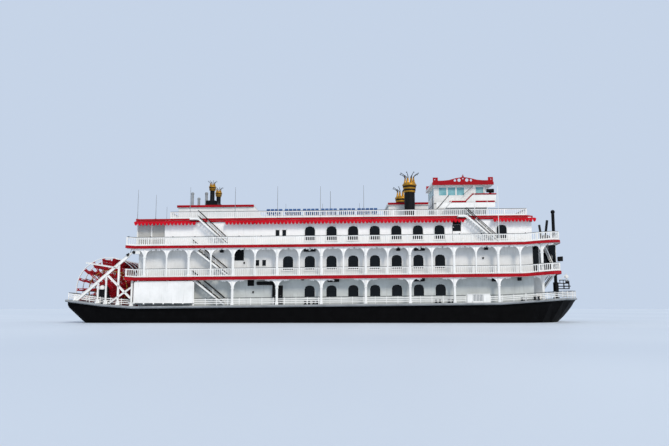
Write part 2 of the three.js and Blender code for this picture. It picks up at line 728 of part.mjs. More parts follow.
function sternTruss() {
  const members = TRUSS_MEMBERS.map(([xa, za, xb, zb, depth]) => (
    bar([xa, -TRUSS_Y, za], [xb, -TRUSS_Y, zb], 0.22, depth)));
  const trims = [
    box(-35, -25, -TRUSS_Y - 0.5, -TRUSS_Y + 0.5, 0, MAIN_TOP + GAP),
    box(-27.7, -25, -TRUSS_Y - 0.5, -TRUSS_Y + 0.5, SECOND_UNDER, 6.6),
    box(-28, -24, -TRUSS_Y - 0.5, -TRUSS_Y + 0.5, THIRD_UNDER, 11),
  ];
  const feet = [-33.95, -31.05, -30.0, -28.4, -26.6, -29.5].map((x) => (
    box(x - 0.25, x + 0.25, -TRUSS_Y - 0.18, -TRUSS_Y + 0.18, MAIN_TOP + GAP, MAIN_TOP + 0.35)));
  const head = box(-26.25, -25.75, -TRUSS_Y - 0.14, -TRUSS_Y + 0.14, 9.2, THIRD_UNDER - GAP);
  const bentParts = [...feet, head].map(bendToSheer);
  return cut(join([...members, ...bentParts, fantailRail]), trims.map(bendToSheer));
}
placePair('stern_truss', sternTruss(), white, false);

// Paddle wheel: arm frames, each one flat wheel with an outer and an inner hoop, and a hub
const RIM_DEPTH = 0.12;
const HOOP_OUT = 2.6;
const HOOP_IN = 2.42;
const HUB_RADIUS = 0.75;
const ARM_HALF = 0.13;

function armFrame(y, hoop) {
  const step = Math.PI * 2 / WHEEL_ARMS;
  const at = (radius, angle) => [radius * Math.cos(angle), radius * Math.sin(angle)];
  const outline = [];
  const openings = [];
  for (let i = 0; i < WHEEL_ARMS; i += 1) {
    const arm = step * i;
    outline.push(at(WHEEL_RIM, arm));
    const corner = (radius, side) => {
      const off = Math.asin(ARM_HALF / radius);
      return at(radius, side > 0 ? arm + off : arm + step - off);
    };
    const sector = (inner, outer) => [
      corner(inner, 1), corner(outer, 1), corner(outer, -1), corner(inner, -1)];
    if (hoop) {
      openings.push(sector(HOOP_OUT, WHEEL_RIM - RIM_DEPTH));
      openings.push(sector(HUB_RADIUS, HOOP_IN));
    } else {
      openings.push(sector(HUB_RADIUS, WHEEL_RIM - RIM_DEPTH));
    }
  }
  const bore = [];
  for (let i = 0; i < SHAFT_SIDES; i += 1) {
    bore.push(at(SHAFT_RADIUS + GAP, Math.PI * 2 * i / SHAFT_SIDES));
  }
  openings.push(bore);
  return openPanel(outline, openings, 0.14).translate(WHEEL_X, y, WHEEL_Z);
}

const FRAME_YS = [-2.5, -1.5, -0.5, 0.5, 1.5, 2.5].map((n) => n * FRAME_SPACING);
FRAME_YS.forEach((y, i) => {
  place(`wheel_frame_${i + 1}`, armFrame(y, i === 0 || i === 5), darkRed, false);
});

// The boards lie against the arms and are held together by two hoops between the frames
const HOOP_YS = [0];
function wheelBoards() {
  const pieces = [];
  const step = Math.PI * 2 / WHEEL_ARMS;
  for (let i = 0; i < WHEEL_ARMS; i += 1) {
    const board = box(WHEEL_BOARD_IN, WHEEL_BOARD_OUT, -5.85, 5.85, ARM_HALF + GAP, 0.21);
    board.rotateY(-step * i);
    pieces.push(board.translate(WHEEL_X, 0, WHEEL_Z));
  }
  for (const y of HOOP_YS) {
    const ring = [];
    const opening = [];
    for (let i = 0; i < WHEEL_ARMS; i += 1) {
      const angle = step * (i + 0.5);
      ring.push([3.85 * Math.cos(angle), 3.85 * Math.sin(angle)]);
      opening.push([3.7 * Math.cos(angle), 3.7 * Math.sin(angle)]);
    }
    pieces.push(openPanel(ring, [opening], 0.07).translate(WHEEL_X, y, WHEEL_Z));
  }
  return join(pieces);
}
place('wheel_boards', wheelBoards(), darkRed, false);

const BLOCK_Y = 7.2;
const BLOCK_HALF = 0.35;
const shaftEnd = BLOCK_Y + 0.5;
const collarY = BLOCK_Y - BLOCK_HALF - GAP;
place('wheel_shaft', join([
  crossRod(SHAFT_RADIUS, WHEEL_X, WHEEL_Z, -shaftEnd, shaftEnd, SHAFT_SIDES),
  crossRod(0.42, WHEEL_X, WHEEL_Z, -collarY, 0.12 - collarY, 16),
  crossRod(0.42, WHEEL_X, WHEEL_Z, collarY - 0.12, collarY, 16),
]), steel, false);

// Pillow blocks carry the shaft on the sponsons
function pillowBlock() {
  const foot = bendToSheer(sidePrism([
    [WHEEL_X - 0.9, MAIN_TOP + GAP], [WHEEL_X + 0.9, MAIN_TOP + GAP],
    [WHEEL_X + 0.5, WHEEL_Z - 0.1], [WHEEL_X - 0.5, WHEEL_Z - 0.1],
  ], -BLOCK_Y - 0.35, -BLOCK_Y + 0.35));
  const drum = crossRod(0.55, WHEEL_X, WHEEL_Z, -BLOCK_Y - 0.35, -BLOCK_Y + 0.35, 16);
  const bore = crossRod(SHAFT_RADIUS + 0.0035, WHEEL_X, WHEEL_Z, -BLOCK_Y - 0.9, -BLOCK_Y + 0.9,
    SHAFT_SIDES);
  return cut(join([foot, drum]), [bore]);
}
placePair('pillow_block', pillowBlock(), black, false);

// Awnings under the sun deck's edge: rows are the x of both ends
const AWNINGS = [[-26.7, -18.6], [-14.6, 17.4], [21.2, 27.0]];
const AWNING_OUT = 8.3;
function awningSide() {
  const cloths = AWNINGS.map(([x0, x1]) => crossPrism([
    [-SUN_HALF - GAP, 13.6], [-SUN_HALF - GAP, SUN_UNDER], [-AWNING_OUT, 13.56], [-AWNING_OUT, 13.1],
    [0.06 - AWNING_OUT, 13.1], [0.06 - AWNING_OUT, 13.46],
  ], x0, x1));
  const fascia = box(-26.7, 26.0, -SUN_HALF - 0.06, -SUN_HALF - GAP, 13.55, SUN_UNDER);
  return joinBent([...cloths, fascia]);
}
placePair('awning', awningSide(), red, false);

// Roof houses on the sun deck
function roofHouse(name, x0, x1, half, z1, taper) {
  const walls = sidePrism([[x0, SUN_TOP + GAP], [x1, SUN_TOP + GAP], [x1 - taper, z1 - 0.25],
    [x0, z1 - 0.25]], -half, half);
  const roof = box(x0 - 0.15, x1 - taper + 0.15, -half - 0.15, half + 0.15, z1 - 0.3, z1);
  place(name, join([walls, roof]), white);
}
roofHouse('aft_house', -21.9, -11.3, 4.0, 16.4, 0.9);
roofHouse('forward_house', 7.6, 13.15, 4.0, 16.45, 0.0);

// Pilothouse: a base, a walkway and a glazed room, hollow with its windows cut
const PILOT_AFT = 14.2;
const PILOT_FORE = 21.5;
const PILOT_HALF = 2.8;
const PILOT_FLOOR = 16.6;
const PILOT_HEAD = 19.08;
const pilotBase = box(PILOT_AFT, 21.6, -PILOT_HALF, PILOT_HALF, SUN_TOP + GAP, PILOT_FLOOR - 0.12);
const pilotFloor = box(16.1, 22.75, -4.3, 4.3, PILOT_FLOOR - 0.14, PILOT_FLOOR);
place('pilothouse_base', join([pilotBase, pilotFloor]), white);
const pilotRoom = box(PILOT_AFT, PILOT_FORE, -PILOT_HALF, PILOT_HALF, PILOT_FLOOR + GAP, PILOT_HEAD - GAP);
const pilotInside = box(PILOT_AFT + WALL_THICK, PILOT_FORE - WALL_THICK, -PILOT_HALF + WALL_THICK,
  PILOT_HALF - WALL_THICK, PILOT_FLOOR - 1, PILOT_HEAD + 1);
const SIDE_WINDOWS = [[14.93, 15.98], [16.2, 17.25], [17.47, 18.52], [20.2, 21.25]];
const pilotWindows = SIDE_WINDOWS.map(([x0, x1]) => box(x0, x1, -4, 4, 17.7, 18.87));
for (let i = 0; i < 3; i += 1) {
  const y = -2.45 + i * 1.75;
  pilotWindows.push(box(PILOT_AFT - 1, PILOT_FORE + 1, y, y + 1.4, 17.7, 18.87));
}
place('pilothouse', cut(pilotRoom, [pilotInside, ...pilotWindows]), white);
const crest = [
  [13.98, 19.5], [22.6, 19.5], [22.6, 20.1], [22.25, 20.25], [21.9, 19.85], [20.6, 19.85],
  [19.4, 20.15], [18.6, 20.3], [18.35, 20.558], [18.1, 20.3], [17.3, 20.15], [16.1, 19.85],
  [14.7, 19.85], [14.35, 20.1], [13.98, 20.0],
];
place('pilothouse_roof', join([
  box(13.9, 22.65, -3.4, 3.4, PILOT_HEAD, 19.58),
  sidePrism(crest, -3.4, -3.3),
  sidePrism(crest, 3.3, 3.4),
]), red);
// The balcony's bulwark is closed plate that slopes down at its aft ends
const bulwarkSide = sidePrism([
  [18.4, PILOT_FLOOR + GAP], [22.7, PILOT_FLOOR + GAP], [22.7, 17.68], [19.4, 17.68],
], -4.28, -4.2);
place('balcony_rail', join([
  bulwarkSide, mirrored(plainCopy(bulwarkSide)),
  box(22.62, 22.7, -4.25, 4.25, PILOT_FLOOR + GAP, 17.68),
]), white);

// Chimneys with crowns
function crown(x, y, zBase, zTip, radius, flare, prongs) {
  const height = zTip - zBase;
  const pieces = [turned([
    [0, zBase], [radius * 1.28, zBase], [radius * 1.28, zBase + height * 0.12],
    [radius * 1.1, zBase + height * 0.3], [radius * 1.3, zBase + height * 0.45],
    [0, zBase + height * 0.4],
  ], x, y, 12)];
  for (let i = 0; i < prongs; i += 1) {
    const angle = Math.PI * 2 * (i + 0.5) / prongs;
    const at = (r, z) => [x + r * Math.cos(angle), y + r * Math.sin(angle), z];
    const width = radius * 0.22;
    pieces.push(bar(at(radius * 1.12, zBase + height * 0.36), at(flare, zTip), width * 1.3, width));
  }
  return join(pieces);
}

// Each row: name, x, y, column radius, foot height, column top, crown tip, crown reach
const CHIMNEYS = [
  ['chimney_starboard', 10.4, -5.5, 0.72, SUN_TOP, 18.45, 20.4, 1.3],
  ['chimney_port', 10.4, 5.5, 0.72, SUN_TOP, 18.45, 20.4, 1.3],
  ['funnel_starboard', -17.5, -2.5, 0.29, 17.3, 18.9, 19.95, 0.72],
  ['funnel_port', -17.5, 2.5, 0.29, 17.3, 18.9, 19.95, 0.72],
];
CHIMNEYS.forEach(([name, x, y, radius, zFoot, zTop, zTip, reach]) => {
  const column = join([
    upright(radius, x, y, zFoot + GAP, zTop - GAP, 20),
    upright(radius * 1.12, x, y, zFoot + GAP, zFoot + 0.25, 20),
    ...(radius < 0.5 ? [crown(x, y, zTop - 0.1, zTip, radius, reach, 8)] : []),
  ]);
  place(name, column, black);
  if (radius > 0.5) {
    place(`${name}_crown`, crown(x, y, zTop, zTip, radius, reach, 8), gold);
  }
});
place('funnel_base', join([
  box(-18.4, -16.3, -3.1, 3.1, 16.4 + GAP, 17.3),
  box(-20.7, -18.3, -2.5, 2.5, 16.4 + GAP, 16.6),
  ...[-20.4, -18.5].flatMap((x) => [-2.2, 2.2].map((y) => upright(0.18, x, y, 16.5, 18.6, 10))),
]), black);

// Bow mast, hoist and boom
const MAST_X = 32.0;
const MAST_RADIUS = 0.23;
const mastFoot = MAIN_TOP + sheer(MAST_X) + GAP;
place('bow_mast', join([
  upright(MAST_RADIUS, MAST_X, 0, mastFoot + 0.05, 15.75, 12),
  upright(0.38, MAST_X, 0, mastFoot + 0.85, mastFoot + 1.0 - GAP, 12),
  bendToSheer(upright(0.45, MAST_X, 0, MAIN_TOP + GAP, MAIN_TOP + 0.15, 12)),
  new THREE.SphereGeometry(0.31, 12, 8).translate(MAST_X, 0, 15.9),
]), black, false);
const HOIST_X = 30.45;
const hoistFoot = THIRD_TOP + sheer(HOIST_X);
place('bow_hoist', join([
  bar([HOIST_X, -0.5, hoistFoot + 0.1], [HOIST_X + 0.15, -1.6, 13.6 + 0.85], 0.26, 0.26),
  bar([HOIST_X, 0.5, hoistFoot + 0.1], [HOIST_X, 1.6, 13.3 + 0.85], 0.26, 0.26),
  box(HOIST_X + 0.05, HOIST_X + 0.75, -0.45, 0.45, hoistFoot + 0.3, hoistFoot + 1.3),
  bendToSheer(box(HOIST_X - 0.35, HOIST_X + 0.35, -0.9, 0.9, THIRD_TOP + GAP, THIRD_TOP + 0.35)),
  bar([HOIST_X, -0.9, 11.6 + 0.75], [HOIST_X, 0.9, 11.6 + 0.75], 0.16, 0.16),
]), black, false);
const BOOM_CLEAR = 0.012;
function bowBoom() {
  const z = mastFoot + 1.0;
  const sleeve = turned([
    [MAST_RADIUS + BOOM_CLEAR, z], [0.38, z], [0.38, z + 1.3],
    [MAST_RADIUS + BOOM_CLEAR, z + 1.3], [MAST_RADIUS + BOOM_CLEAR, z],
  ], MAST_X, 0, 16);
  return join([
    sleeve,
    ...[0.32, 0.68, 1.1].map((up) => box(MAST_X + 0.3, MAST_X + 1.95, -0.09, 0.09, z + up, z + up + 0.13)),
    ...[1.1, 1.83].map((out) => box(MAST_X + out, MAST_X + out + 0.12, -0.09, 0.09, z + 0.32, z + 1.23)),
    box(MAST_X + 1.2, MAST_X + 1.95, -0.55, 0.55, z + 0.68, z + 0.81),
    box(MAST_X + 1.45, MAST_X + 1.9, -0.2, 0.2, z + 1.2, z + 1.5),
  ]);
}
place('bow_boom', bowBoom(), black, false);

// Searchlight on the pilothouse walkway
const LIGHT_X = 22.1;
const LIGHT_Y = -3.35;
const lightFoot = PILOT_FLOOR + sheer(LIGHT_X, PILOT_FLOOR);
const LIGHT_PIVOT = lightFoot + 1.2;
place('searchlight_stand', join([
  upright(0.1, LIGHT_X, LIGHT_Y, lightFoot + 0.05, LIGHT_PIVOT, 10),
  bendToSheer(upright(0.25, LIGHT_X, LIGHT_Y, PILOT_FLOOR + GAP, PILOT_FLOOR + 0.1, 10)),
]), black, false);
place('searchlight', join([
  crossRod(0.08, LIGHT_X, LIGHT_PIVOT + 0.35, LIGHT_Y - 0.42, LIGHT_Y + 0.42, 8),
  ...[LIGHT_Y - 0.42, LIGHT_Y + 0.34].map((y) => box(LIGHT_X - 0.06, LIGHT_X + 0.06, y, y + 0.08,
    LIGHT_PIVOT + 0.06, LIGHT_PIVOT + 0.35)),
  box(LIGHT_X - 0.1, LIGHT_X + 0.1, LIGHT_Y - 0.42, LIGHT_Y + 0.42, LIGHT_PIVOT + GAP, LIGHT_PIVOT + 0.1),
  new THREE.CylinderGeometry(0.3, 0.24, 1.0, 14).rotateZ(-Math.PI / 2)
    .translate(LIGHT_X, LIGHT_Y, LIGHT_PIVOT + 0.42),
]), black, false);

export default boat;
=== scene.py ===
# %% [markdown]
# # A stern-wheel paddle steamer
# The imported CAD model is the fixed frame: hull, deckhouses, wheel shaft and roof houses are solids
# already. This lesson dresses it. Forms that a plain solid can't show, such as balusters, sawn
# brackets, scalloped awnings and chimney crowns, are modelled here and stand for their solids.

# %% Load the frame
import math

import bpy
import numpy as np
from mathutils import Matrix, Vector


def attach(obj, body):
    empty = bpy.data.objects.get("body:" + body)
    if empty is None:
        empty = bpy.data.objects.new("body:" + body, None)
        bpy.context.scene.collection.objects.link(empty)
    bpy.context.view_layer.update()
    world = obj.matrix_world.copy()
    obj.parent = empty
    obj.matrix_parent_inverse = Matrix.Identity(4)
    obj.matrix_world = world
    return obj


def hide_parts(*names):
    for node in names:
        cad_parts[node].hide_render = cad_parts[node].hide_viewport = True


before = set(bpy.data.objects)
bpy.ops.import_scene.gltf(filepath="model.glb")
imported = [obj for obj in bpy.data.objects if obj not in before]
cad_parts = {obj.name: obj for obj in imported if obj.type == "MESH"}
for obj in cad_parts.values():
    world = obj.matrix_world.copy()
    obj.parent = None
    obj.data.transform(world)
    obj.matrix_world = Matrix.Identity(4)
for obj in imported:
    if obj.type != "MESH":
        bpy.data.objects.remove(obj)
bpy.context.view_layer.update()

# %% [markdown]
# ## Full-size metres
# The model is half the size of the boat. A shipwright's drawing gives the boat's own sizes, so every
# piece is modelled at full size, with x forward from amidships, y to port and z up from the
# waterline. One move at the end halves it and sets it into the model. The other way, halving each
# number by hand, is where mistakes come from.

# %% Scale and waterline
MODEL_SCALE = 0.5
AMIDSHIPS_SHIFT = 0.3
DRAFT = 2.0
MODEL_ORIGIN = Vector((AMIDSHIPS_SHIFT, 0, DRAFT)) * MODEL_SCALE
INTO_MODEL = Matrix.Translation(MODEL_ORIGIN) @ Matrix.Scale(MODEL_SCALE, 4)
WATERLINE = DRAFT * MODEL_SCALE

# %% [markdown]
# ## The camera
# The photograph was taken low over the water and square to the side. The horizon stands below the
# middle of the picture, so the camera looks up a little. A 35 mm lens fits the height of the posts at
# both ends. The other way to frame a long boat, a shifted lens, would follow the camera into every
# other view.

# %% Camera
CAMERA_PLACE = (0.15, -47.2, 1.965)
CAMERA_PITCH = 7.446
camera_data = bpy.data.cameras.new("camera")
camera_data.lens = 35.0
camera_data.sensor_width = 36.0
camera_data.clip_end = 2000
camera = bpy.data.objects.new("camera", camera_data)
camera.location = CAMERA_PLACE
camera.rotation_euler = (math.radians(90 + CAMERA_PITCH), 0, 0)
bpy.context.scene.collection.objects.link(camera)
bpy.context.scene.camera = camera

# %% [markdown]
# ## One helper for every material
# A material here is a short graph. Colours are written as the sRGB hex values that a paint card
# would give, and one function turns them to the linear numbers that the shader wants. Another adds a
# node with its settings and its links. On top of them stand the steps that every finish takes, such as
# noise, colour by noise, gloss by noise and relief, so that each finish reads as a recipe.

# %% Colour and node helpers
def hex_colour(code):
    channels = [int(code[i:i + 2], 16) / 255 for i in (1, 3, 5)]
    linear = [c / 12.92 if c <= 0.04045 else ((c + 0.055) / 1.055) ** 2.4 for c in channels]
    return (*linear, 1.0)


def add_node(tree, kind, settings=(), links=()):
    """Adds a node. Settings name a socket or a property; links give (own socket, node, its socket)."""
    node = tree.nodes.new(kind)
    for key, value in dict(settings).items():
        if isinstance(key, int) or key in node.inputs:
            node.inputs[key].default_value = value
        else:
            setattr(node, key, value)
    for own, other, output in links:
        tree.links.new(other.outputs[output], node.inputs[own])
    return node


def finish(name, **shader):
    """A new material, its tree, its shader with the plain values given, and the place of each point."""
    material = bpy.data.materials.new(name)
    material.use_nodes = True
    tree = material.node_tree
    tree.nodes.clear()
    surface = add_node(tree, "ShaderNodeBsdfPrincipled", shader)
    add_node(tree, "ShaderNodeOutputMaterial", (), [("Surface", surface, "BSDF")])
    return material, tree, surface, add_node(tree, "ShaderNodeTexCoord")


def colour_steps(tree, source, output, stops):
    """A colour ramp between hex colours: stops are (position, hex)."""
    ramp = add_node(tree, "ShaderNodeValToRGB", (), [("Fac", source, output)])
    elements = ramp.color_ramp.elements
    while len(elements) < len(stops):
        elements.new(0.5)
    for element, (position, code) in zip(elements, stops):
        element.position = position
        element.color = hex_colour(code)
    return ramp


# %% Steps of a finish
NOISE_LOW, NOISE_HIGH = 0.3, 0.7


def noise(tree, place, scale, detail, roughness=0.5, output="Object"):
    """Soft patches, about 1 / scale metres across."""
    return add_node(tree, "ShaderNodeTexNoise",
                    {"Scale": scale, "Detail": detail, "Roughness": roughness},
                    [("Vector", place, output)])


def stretched(tree, place, scale):
    """The same places drawn together along each axis by the numbers of scale."""
    return add_node(tree, "ShaderNodeMapping", {"Scale": scale}, [("Vector", place, "Object")])


def colour_by(tree, surface, pattern, stops):
    tint = colour_steps(tree, pattern, "Fac", stops)
    tree.links.new(tint.outputs["Color"], surface.inputs["Base Color"])


def map_range(tree, source, output, low, high, to_low, to_high):
    return add_node(tree, "ShaderNodeMapRange",
                    {"From Min": low, "From Max": high, "To Min": to_low, "To Max": to_high},
                    [("Value", source, output)])


def gloss_by(tree, surface, pattern, dull, glossy):
    """Roughness goes from dull where the pattern is low to glossy where it is high."""
    rough = map_range(tree, pattern, "Fac", NOISE_LOW, NOISE_HIGH, dull, glossy)
    tree.links.new(rough.outputs["Result"], surface.inputs["Roughness"])


def emboss(tree, surface, source, output, strength, depth):
    """Relief from a pattern, depth in metres."""
    relief = add_node(tree, "ShaderNodeBump", {"Strength": strength, "Distance": depth},
                      [("Height", source, output)])
    tree.links.new(relief.outputs["Normal"], surface.inputs["Normal"])

# %% [markdown]
# ## Painted steel and painted boards
# The upper works are plate and board under brushed marine enamel. Such enamel is never one colour:
# it chalks in patches, and rain draws faint grey streaks down from every edge. A picture of paint
# could be wrapped on, but it would stretch on pieces this long, so the patches come from noise in
# the piece's own metres. Streaks are the same noise, squeezed along x and y and left long in z.

# %% Enamel
BRUSH_RELIEF = 0.35


def enamel(name, base, worn, streak, gloss, patch=0.9, streak_amount=0.35, shine=0.5):
    """Brushed marine enamel: patches about patch metres across, streaks down the wall, brush marks."""
    material, tree, surface, place = finish(name, **{"Metallic": 0.0, "IOR": 1.5,
                                                     "Specular IOR Level": shine})
    patches = noise(tree, place, 1 / patch, 5.0, 0.6)
    paint = colour_steps(tree, patches, "Fac", [(0.35, worn), (0.62, base)])
    runs = noise(tree, stretched(tree, place, (9.0, 9.0, 0.7)), 1.0, 4.0, 0.55, "Vector")
    run_mask = map_range(tree, runs, "Fac", 0.56, 0.74, 0.0, streak_amount)
    mixed = add_node(tree, "ShaderNodeMix", {"data_type": "RGBA", 7: hex_colour(streak)},
                     [("Factor", run_mask, "Result"), (6, paint, "Color")])
    tree.links.new(mixed.outputs[2], surface.inputs["Base Color"])
    gloss_by(tree, surface, patches, gloss + 0.14, gloss)
    brush = noise(tree, stretched(tree, place, (6.0, 6.0, 60.0)), 1.0, 3.0, output="Vector")
    emboss(tree, surface, brush, "Fac", BRUSH_RELIEF, 0.002)
    return material


white_enamel = enamel("white_enamel", "#f3f2ee", "#e5e5e1", "#c2c1b8", 0.36)
# The same white a little darker: painted shade for the house walls under the decks
wall_enamel = enamel("white_wall_enamel", "#e8e7e4", "#dbdbd8", "#bcbbb2", 0.42)
# The same white made lighter: painted light on the third deck's walls, the brackets, the door panels and
# the balcony skirt
lit_wall_enamel = enamel("painted_light_white_wall_enamel", "#fffefb", "#f8f7f4", "#dcdbd4", 0.3)
# The same white made much darker: painted shade of the main deck's walls under the galleries
shaded_main_wall_enamel = enamel("painted_shade_white_wall_enamel", "#cbcfcc", "#bbbfbc", "#95968f", 0.5)
# A darker warm grey: painted shade on the undersides of the decks
shaded_ceiling_enamel = enamel("painted_shade_ceiling_enamel", "#c6c1b8", "#b8b3aa", "#8f8a80", 0.5)
red_enamel = enamel("red_enamel", "#a80c1b", "#940817", "#620812", 0.45, streak_amount=0.25, shine=0.12)
wheel_enamel = enamel("oxide_red_wheel_paint", "#a80d1d", "#860b18", "#45080e", 0.55, patch=0.3, shine=0.12)
soot_black = enamel("black_stack_enamel", "#08080a", "#101114", "#26241f", 0.45, patch=0.5, shine=0.15)
fitting_black = enamel("black_fitting_paint", "#0b0c0e", "#141518", "#262420", 0.5, patch=0.2, shine=0.12)
grey_enamel = enamel("grey_rail_enamel", "#3a4043", "#2e3336", "#25282a", 0.4, patch=0.4)
guard_grey = enamel("galvanised_guard_steel", "#979b9e", "#7d8184", "#5f564e", 0.5, patch=0.6)
seat_blue = enamel("moulded_blue_polypropylene", "#3a6398", "#305687", "#26456b", 0.4, patch=0.25)

# %% [markdown]
# ## Bottom paint and hull black
# The hull is welded plate, black above the water with a soft sheen. Close to the water it carries a
# dull line of dried salt and weed, and under it an oxide red bottom paint. Both follow the height
# above the keel, so the colour is read from z. Plate seams show as faint raised lines, one about
# every 4.8 m of the real boat, where two plates are welded end to end.

# %% Hull plate
# Half of a plate's length, and the stops of the band at the water, all in metres of the model
HALF_PLATE = 1.2
WATER_BAND = [(0.0, "#6e1f1a"), (0.955, "#5e1b17"), (0.965, "#3c3a33"), (1.07, "#2c2c2a"),
              (1.11, "#000000")]
hull_plate, tree, surface, place = finish("black_hull_plate", **{"Metallic": 0.0, "IOR": 1.5,
                                                                 "Specular IOR Level": 0.05})
axes = add_node(tree, "ShaderNodeSeparateXYZ", (), [("Vector", place, "Object")])
blotches = noise(tree, place, 1.6, 6.0, 0.65)
plate_black = colour_steps(tree, blotches, "Fac", [(0.3, "#030304"), (0.6, "#070708"), (0.8, "#101013")])
wavy = add_node(tree, "ShaderNodeMath", {"operation": "MULTIPLY_ADD", 1: 0.12, 2: -0.06},
                [(0, blotches, "Fac")])
level = add_node(tree, "ShaderNodeMath", {"operation": "ADD"}, [(0, axes, "Z"), (1, wavy, "Value")])
bands = colour_steps(tree, level, "Value", WATER_BAND)
near_water = map_range(tree, level, "Value", 1.04, 1.14, 1.0, 0.0)
coat = add_node(tree, "ShaderNodeMix", {"data_type": "RGBA"},
                [("Factor", near_water, "Result"), (6, plate_black, "Color"), (7, bands, "Color")])
tree.links.new(coat.outputs[2], surface.inputs["Base Color"])
gloss_by(tree, surface, blotches, 0.7, 0.5)
seam_wave = add_node(tree, "ShaderNodeMath", {"operation": "PINGPONG", 1: HALF_PLATE}, [(0, axes, "X")])
emboss(tree, surface, map_range(tree, seam_wave, "Value", 0.0, 0.02, 1.0, 0.0), "Result", 0.5, 0.006)

# %% [markdown]
# ## Deck paint, glass, gold, steel and canvas
# Deck paint has sand in it for grip, window glass is dark because the cabins are, the crowns are
# steel under gold paint, and the awnings are woven canvas. Sand and thread are too fine for a
# picture of a whole boat, so both are drawn several times coarser than the real grain.

# %% Deck paint
deck_paint, tree, surface, place = finish("sanded_deck_paint", **{"Metallic": 0.0, "Roughness": 0.82})
colour_by(tree, surface, noise(tree, place, 0.8, 6.0), [(0.3, "#7f8487"), (0.7, "#9a9ea0")])
emboss(tree, surface, noise(tree, place, 160.0, 2.0), "Fac", 0.4, 0.002)


# %% Window glass
def window_glass(name, deep, pale, rough=0.06):
    """Tinted window glass: nearly a mirror at a glancing angle, with old-glass waves about 0.3 m long."""
    material, tree, surface, place = finish(name, **{"Metallic": 0.0, "IOR": 1.52, "Roughness": rough,
                                                     "Specular IOR Level": 0.2})
    colour_by(tree, surface, noise(tree, place, 1.4, 2.0), [(0.35, deep), (0.7, pale)])
    emboss(tree, surface, noise(tree, place, 3.3, 1.0), "Fac", 0.12, 0.01)
    return material


dark_glass = window_glass("tinted_window_glass", "#05090c", "#0c1216")
teal_glass = window_glass("teal_bridge_glass", "#5b97a2", "#94c2c6", 0.12)

# %% Gold paint and steel
gold_paint, tree, surface, place = finish("gold_crown_paint", **{"Metallic": 0.75})
tarnish = noise(tree, place, 5.0, 5.0)
colour_by(tree, surface, tarnish, [(0.3, "#8f6519"), (0.6, "#bd8a2a"), (0.8, "#cfa13f")])
gloss_by(tree, surface, tarnish, 0.5, 0.28)

bare_steel, tree, surface, place = finish("machined_shaft_steel", **{"Metallic": 1.0})
oil = noise(tree, place, 4.0, 4.0)
colour_by(tree, surface, oil, [(0.35, "#6d6a66"), (0.65, "#9ea0a3")])
gloss_by(tree, surface, oil, 0.55, 0.3)

# %% Awning canvas
# A thread every 9 mm, about ten times the real spacing, so that the weave can be seen at all
THREAD = 0.009
canvas, tree, surface, place = finish("woven_red_awning_canvas", **{"Metallic": 0.0, "Roughness": 0.85,
                                                                    "Specular IOR Level": 0.1})
colour_by(tree, surface, noise(tree, place, 1.1, 4.0), [(0.3, "#b0081a"), (0.7, "#c21226")])
warp, weft = (add_node(tree, "ShaderNodeTexWave", {"Scale": 0.5 / THREAD / 3.14, "bands_direction": axis},
                       [("Vector", place, "Object")]) for axis in "XZ")
weave = add_node(tree, "ShaderNodeMath", {"operation": "MULTIPLY"}, [(0, warp, "Fac"), (1, weft, "Fac")])
emboss(tree, surface, weave, "Value", 0.3, 0.002)

# %% [markdown]
# ## Tools of the bench
# A handful of small helpers: a block, a spar between two points, a rod, a ring drawn up into a
# turned shape, copies in a row, a copy on the other side. Each adds a primitive at its place and
# then shapes it. Everything is deselected first, because an operator acts on all that is selected.

# %% Selecting and joining
def pick(*objects):
    bpy.ops.object.select_all(action="DESELECT")
    for item in objects:
        item.select_set(True)
    bpy.context.view_layer.objects.active = objects[0]


def join_up(name, objects):
    pick(*objects)
    if len(objects) > 1:
        bpy.ops.object.join()
    objects[0].name = name
    return objects[0]


def apply_modifier(piece, kind, **settings):
    pick(piece)
    modifier = piece.modifiers.new(kind.lower(), kind)
    for key, value in settings.items():
        setattr(modifier, key, value)
    bpy.ops.object.modifier_apply(modifier=modifier.name)
    return piece


def set_down(piece, name, paint):
    """Gives a fresh primitive its name and paint, and puts its place into its mesh."""
    bpy.ops.object.transform_apply(location=True, rotation=True, scale=True)
    piece.name = name
    if paint is not None:
        piece.data.materials.append(paint)
    return piece


# %% Blocks, spars, rods and turned shapes
def block(name, x, y, z, paint, soften=0.0):
    """A block between two x, two y and two z, its edges softened by that many metres."""
    bpy.ops.object.select_all(action="DESELECT")
    middle = ((x[0] + x[1]) / 2, (y[0] + y[1]) / 2, (z[0] + z[1]) / 2)
    bpy.ops.mesh.primitive_cube_add(size=1, location=middle, scale=(x[1] - x[0], y[1] - y[0], z[1] - z[0]))
    piece = set_down(bpy.context.object, name, paint)
    if soften:
        apply_modifier(piece, "BEVEL", width=soften, segments=1, limit_method="ANGLE")
    return piece


def spar(name, start, end, width, depth, paint, soften=0.02):
    """A squared timber or girder from start to end, width across and depth upright."""
    bpy.ops.object.select_all(action="DESELECT")
    start, end = Vector(start), Vector(end)
    along = end - start
    turn = along.to_track_quat("X", "Z").to_euler()
    bpy.ops.mesh.primitive_cube_add(size=1, location=(start + end) / 2, rotation=turn,
                                    scale=(along.length, width, depth))
    piece = set_down(bpy.context.object, name, paint)
    if soften:
        apply_modifier(piece, "BEVEL", width=soften, segments=1, limit_method="ANGLE")
    return piece


def rod(name, start, end, radius, paint, sides=10, tip=None):
    """A round bar from start to end, tapering to the radius tip if one is given."""
    bpy.ops.object.select_all(action="DESELECT")
    start, end = Vector(start), Vector(end)
    along = end - start
    turn = along.to_track_quat("Z", "Y").to_euler()
    bpy.ops.mesh.primitive_cone_add(vertices=sides, radius1=radius, radius2=radius if tip is None else tip,
                                    depth=along.length, location=(start + end) / 2, rotation=turn)
    return set_down(bpy.context.object, name, paint)


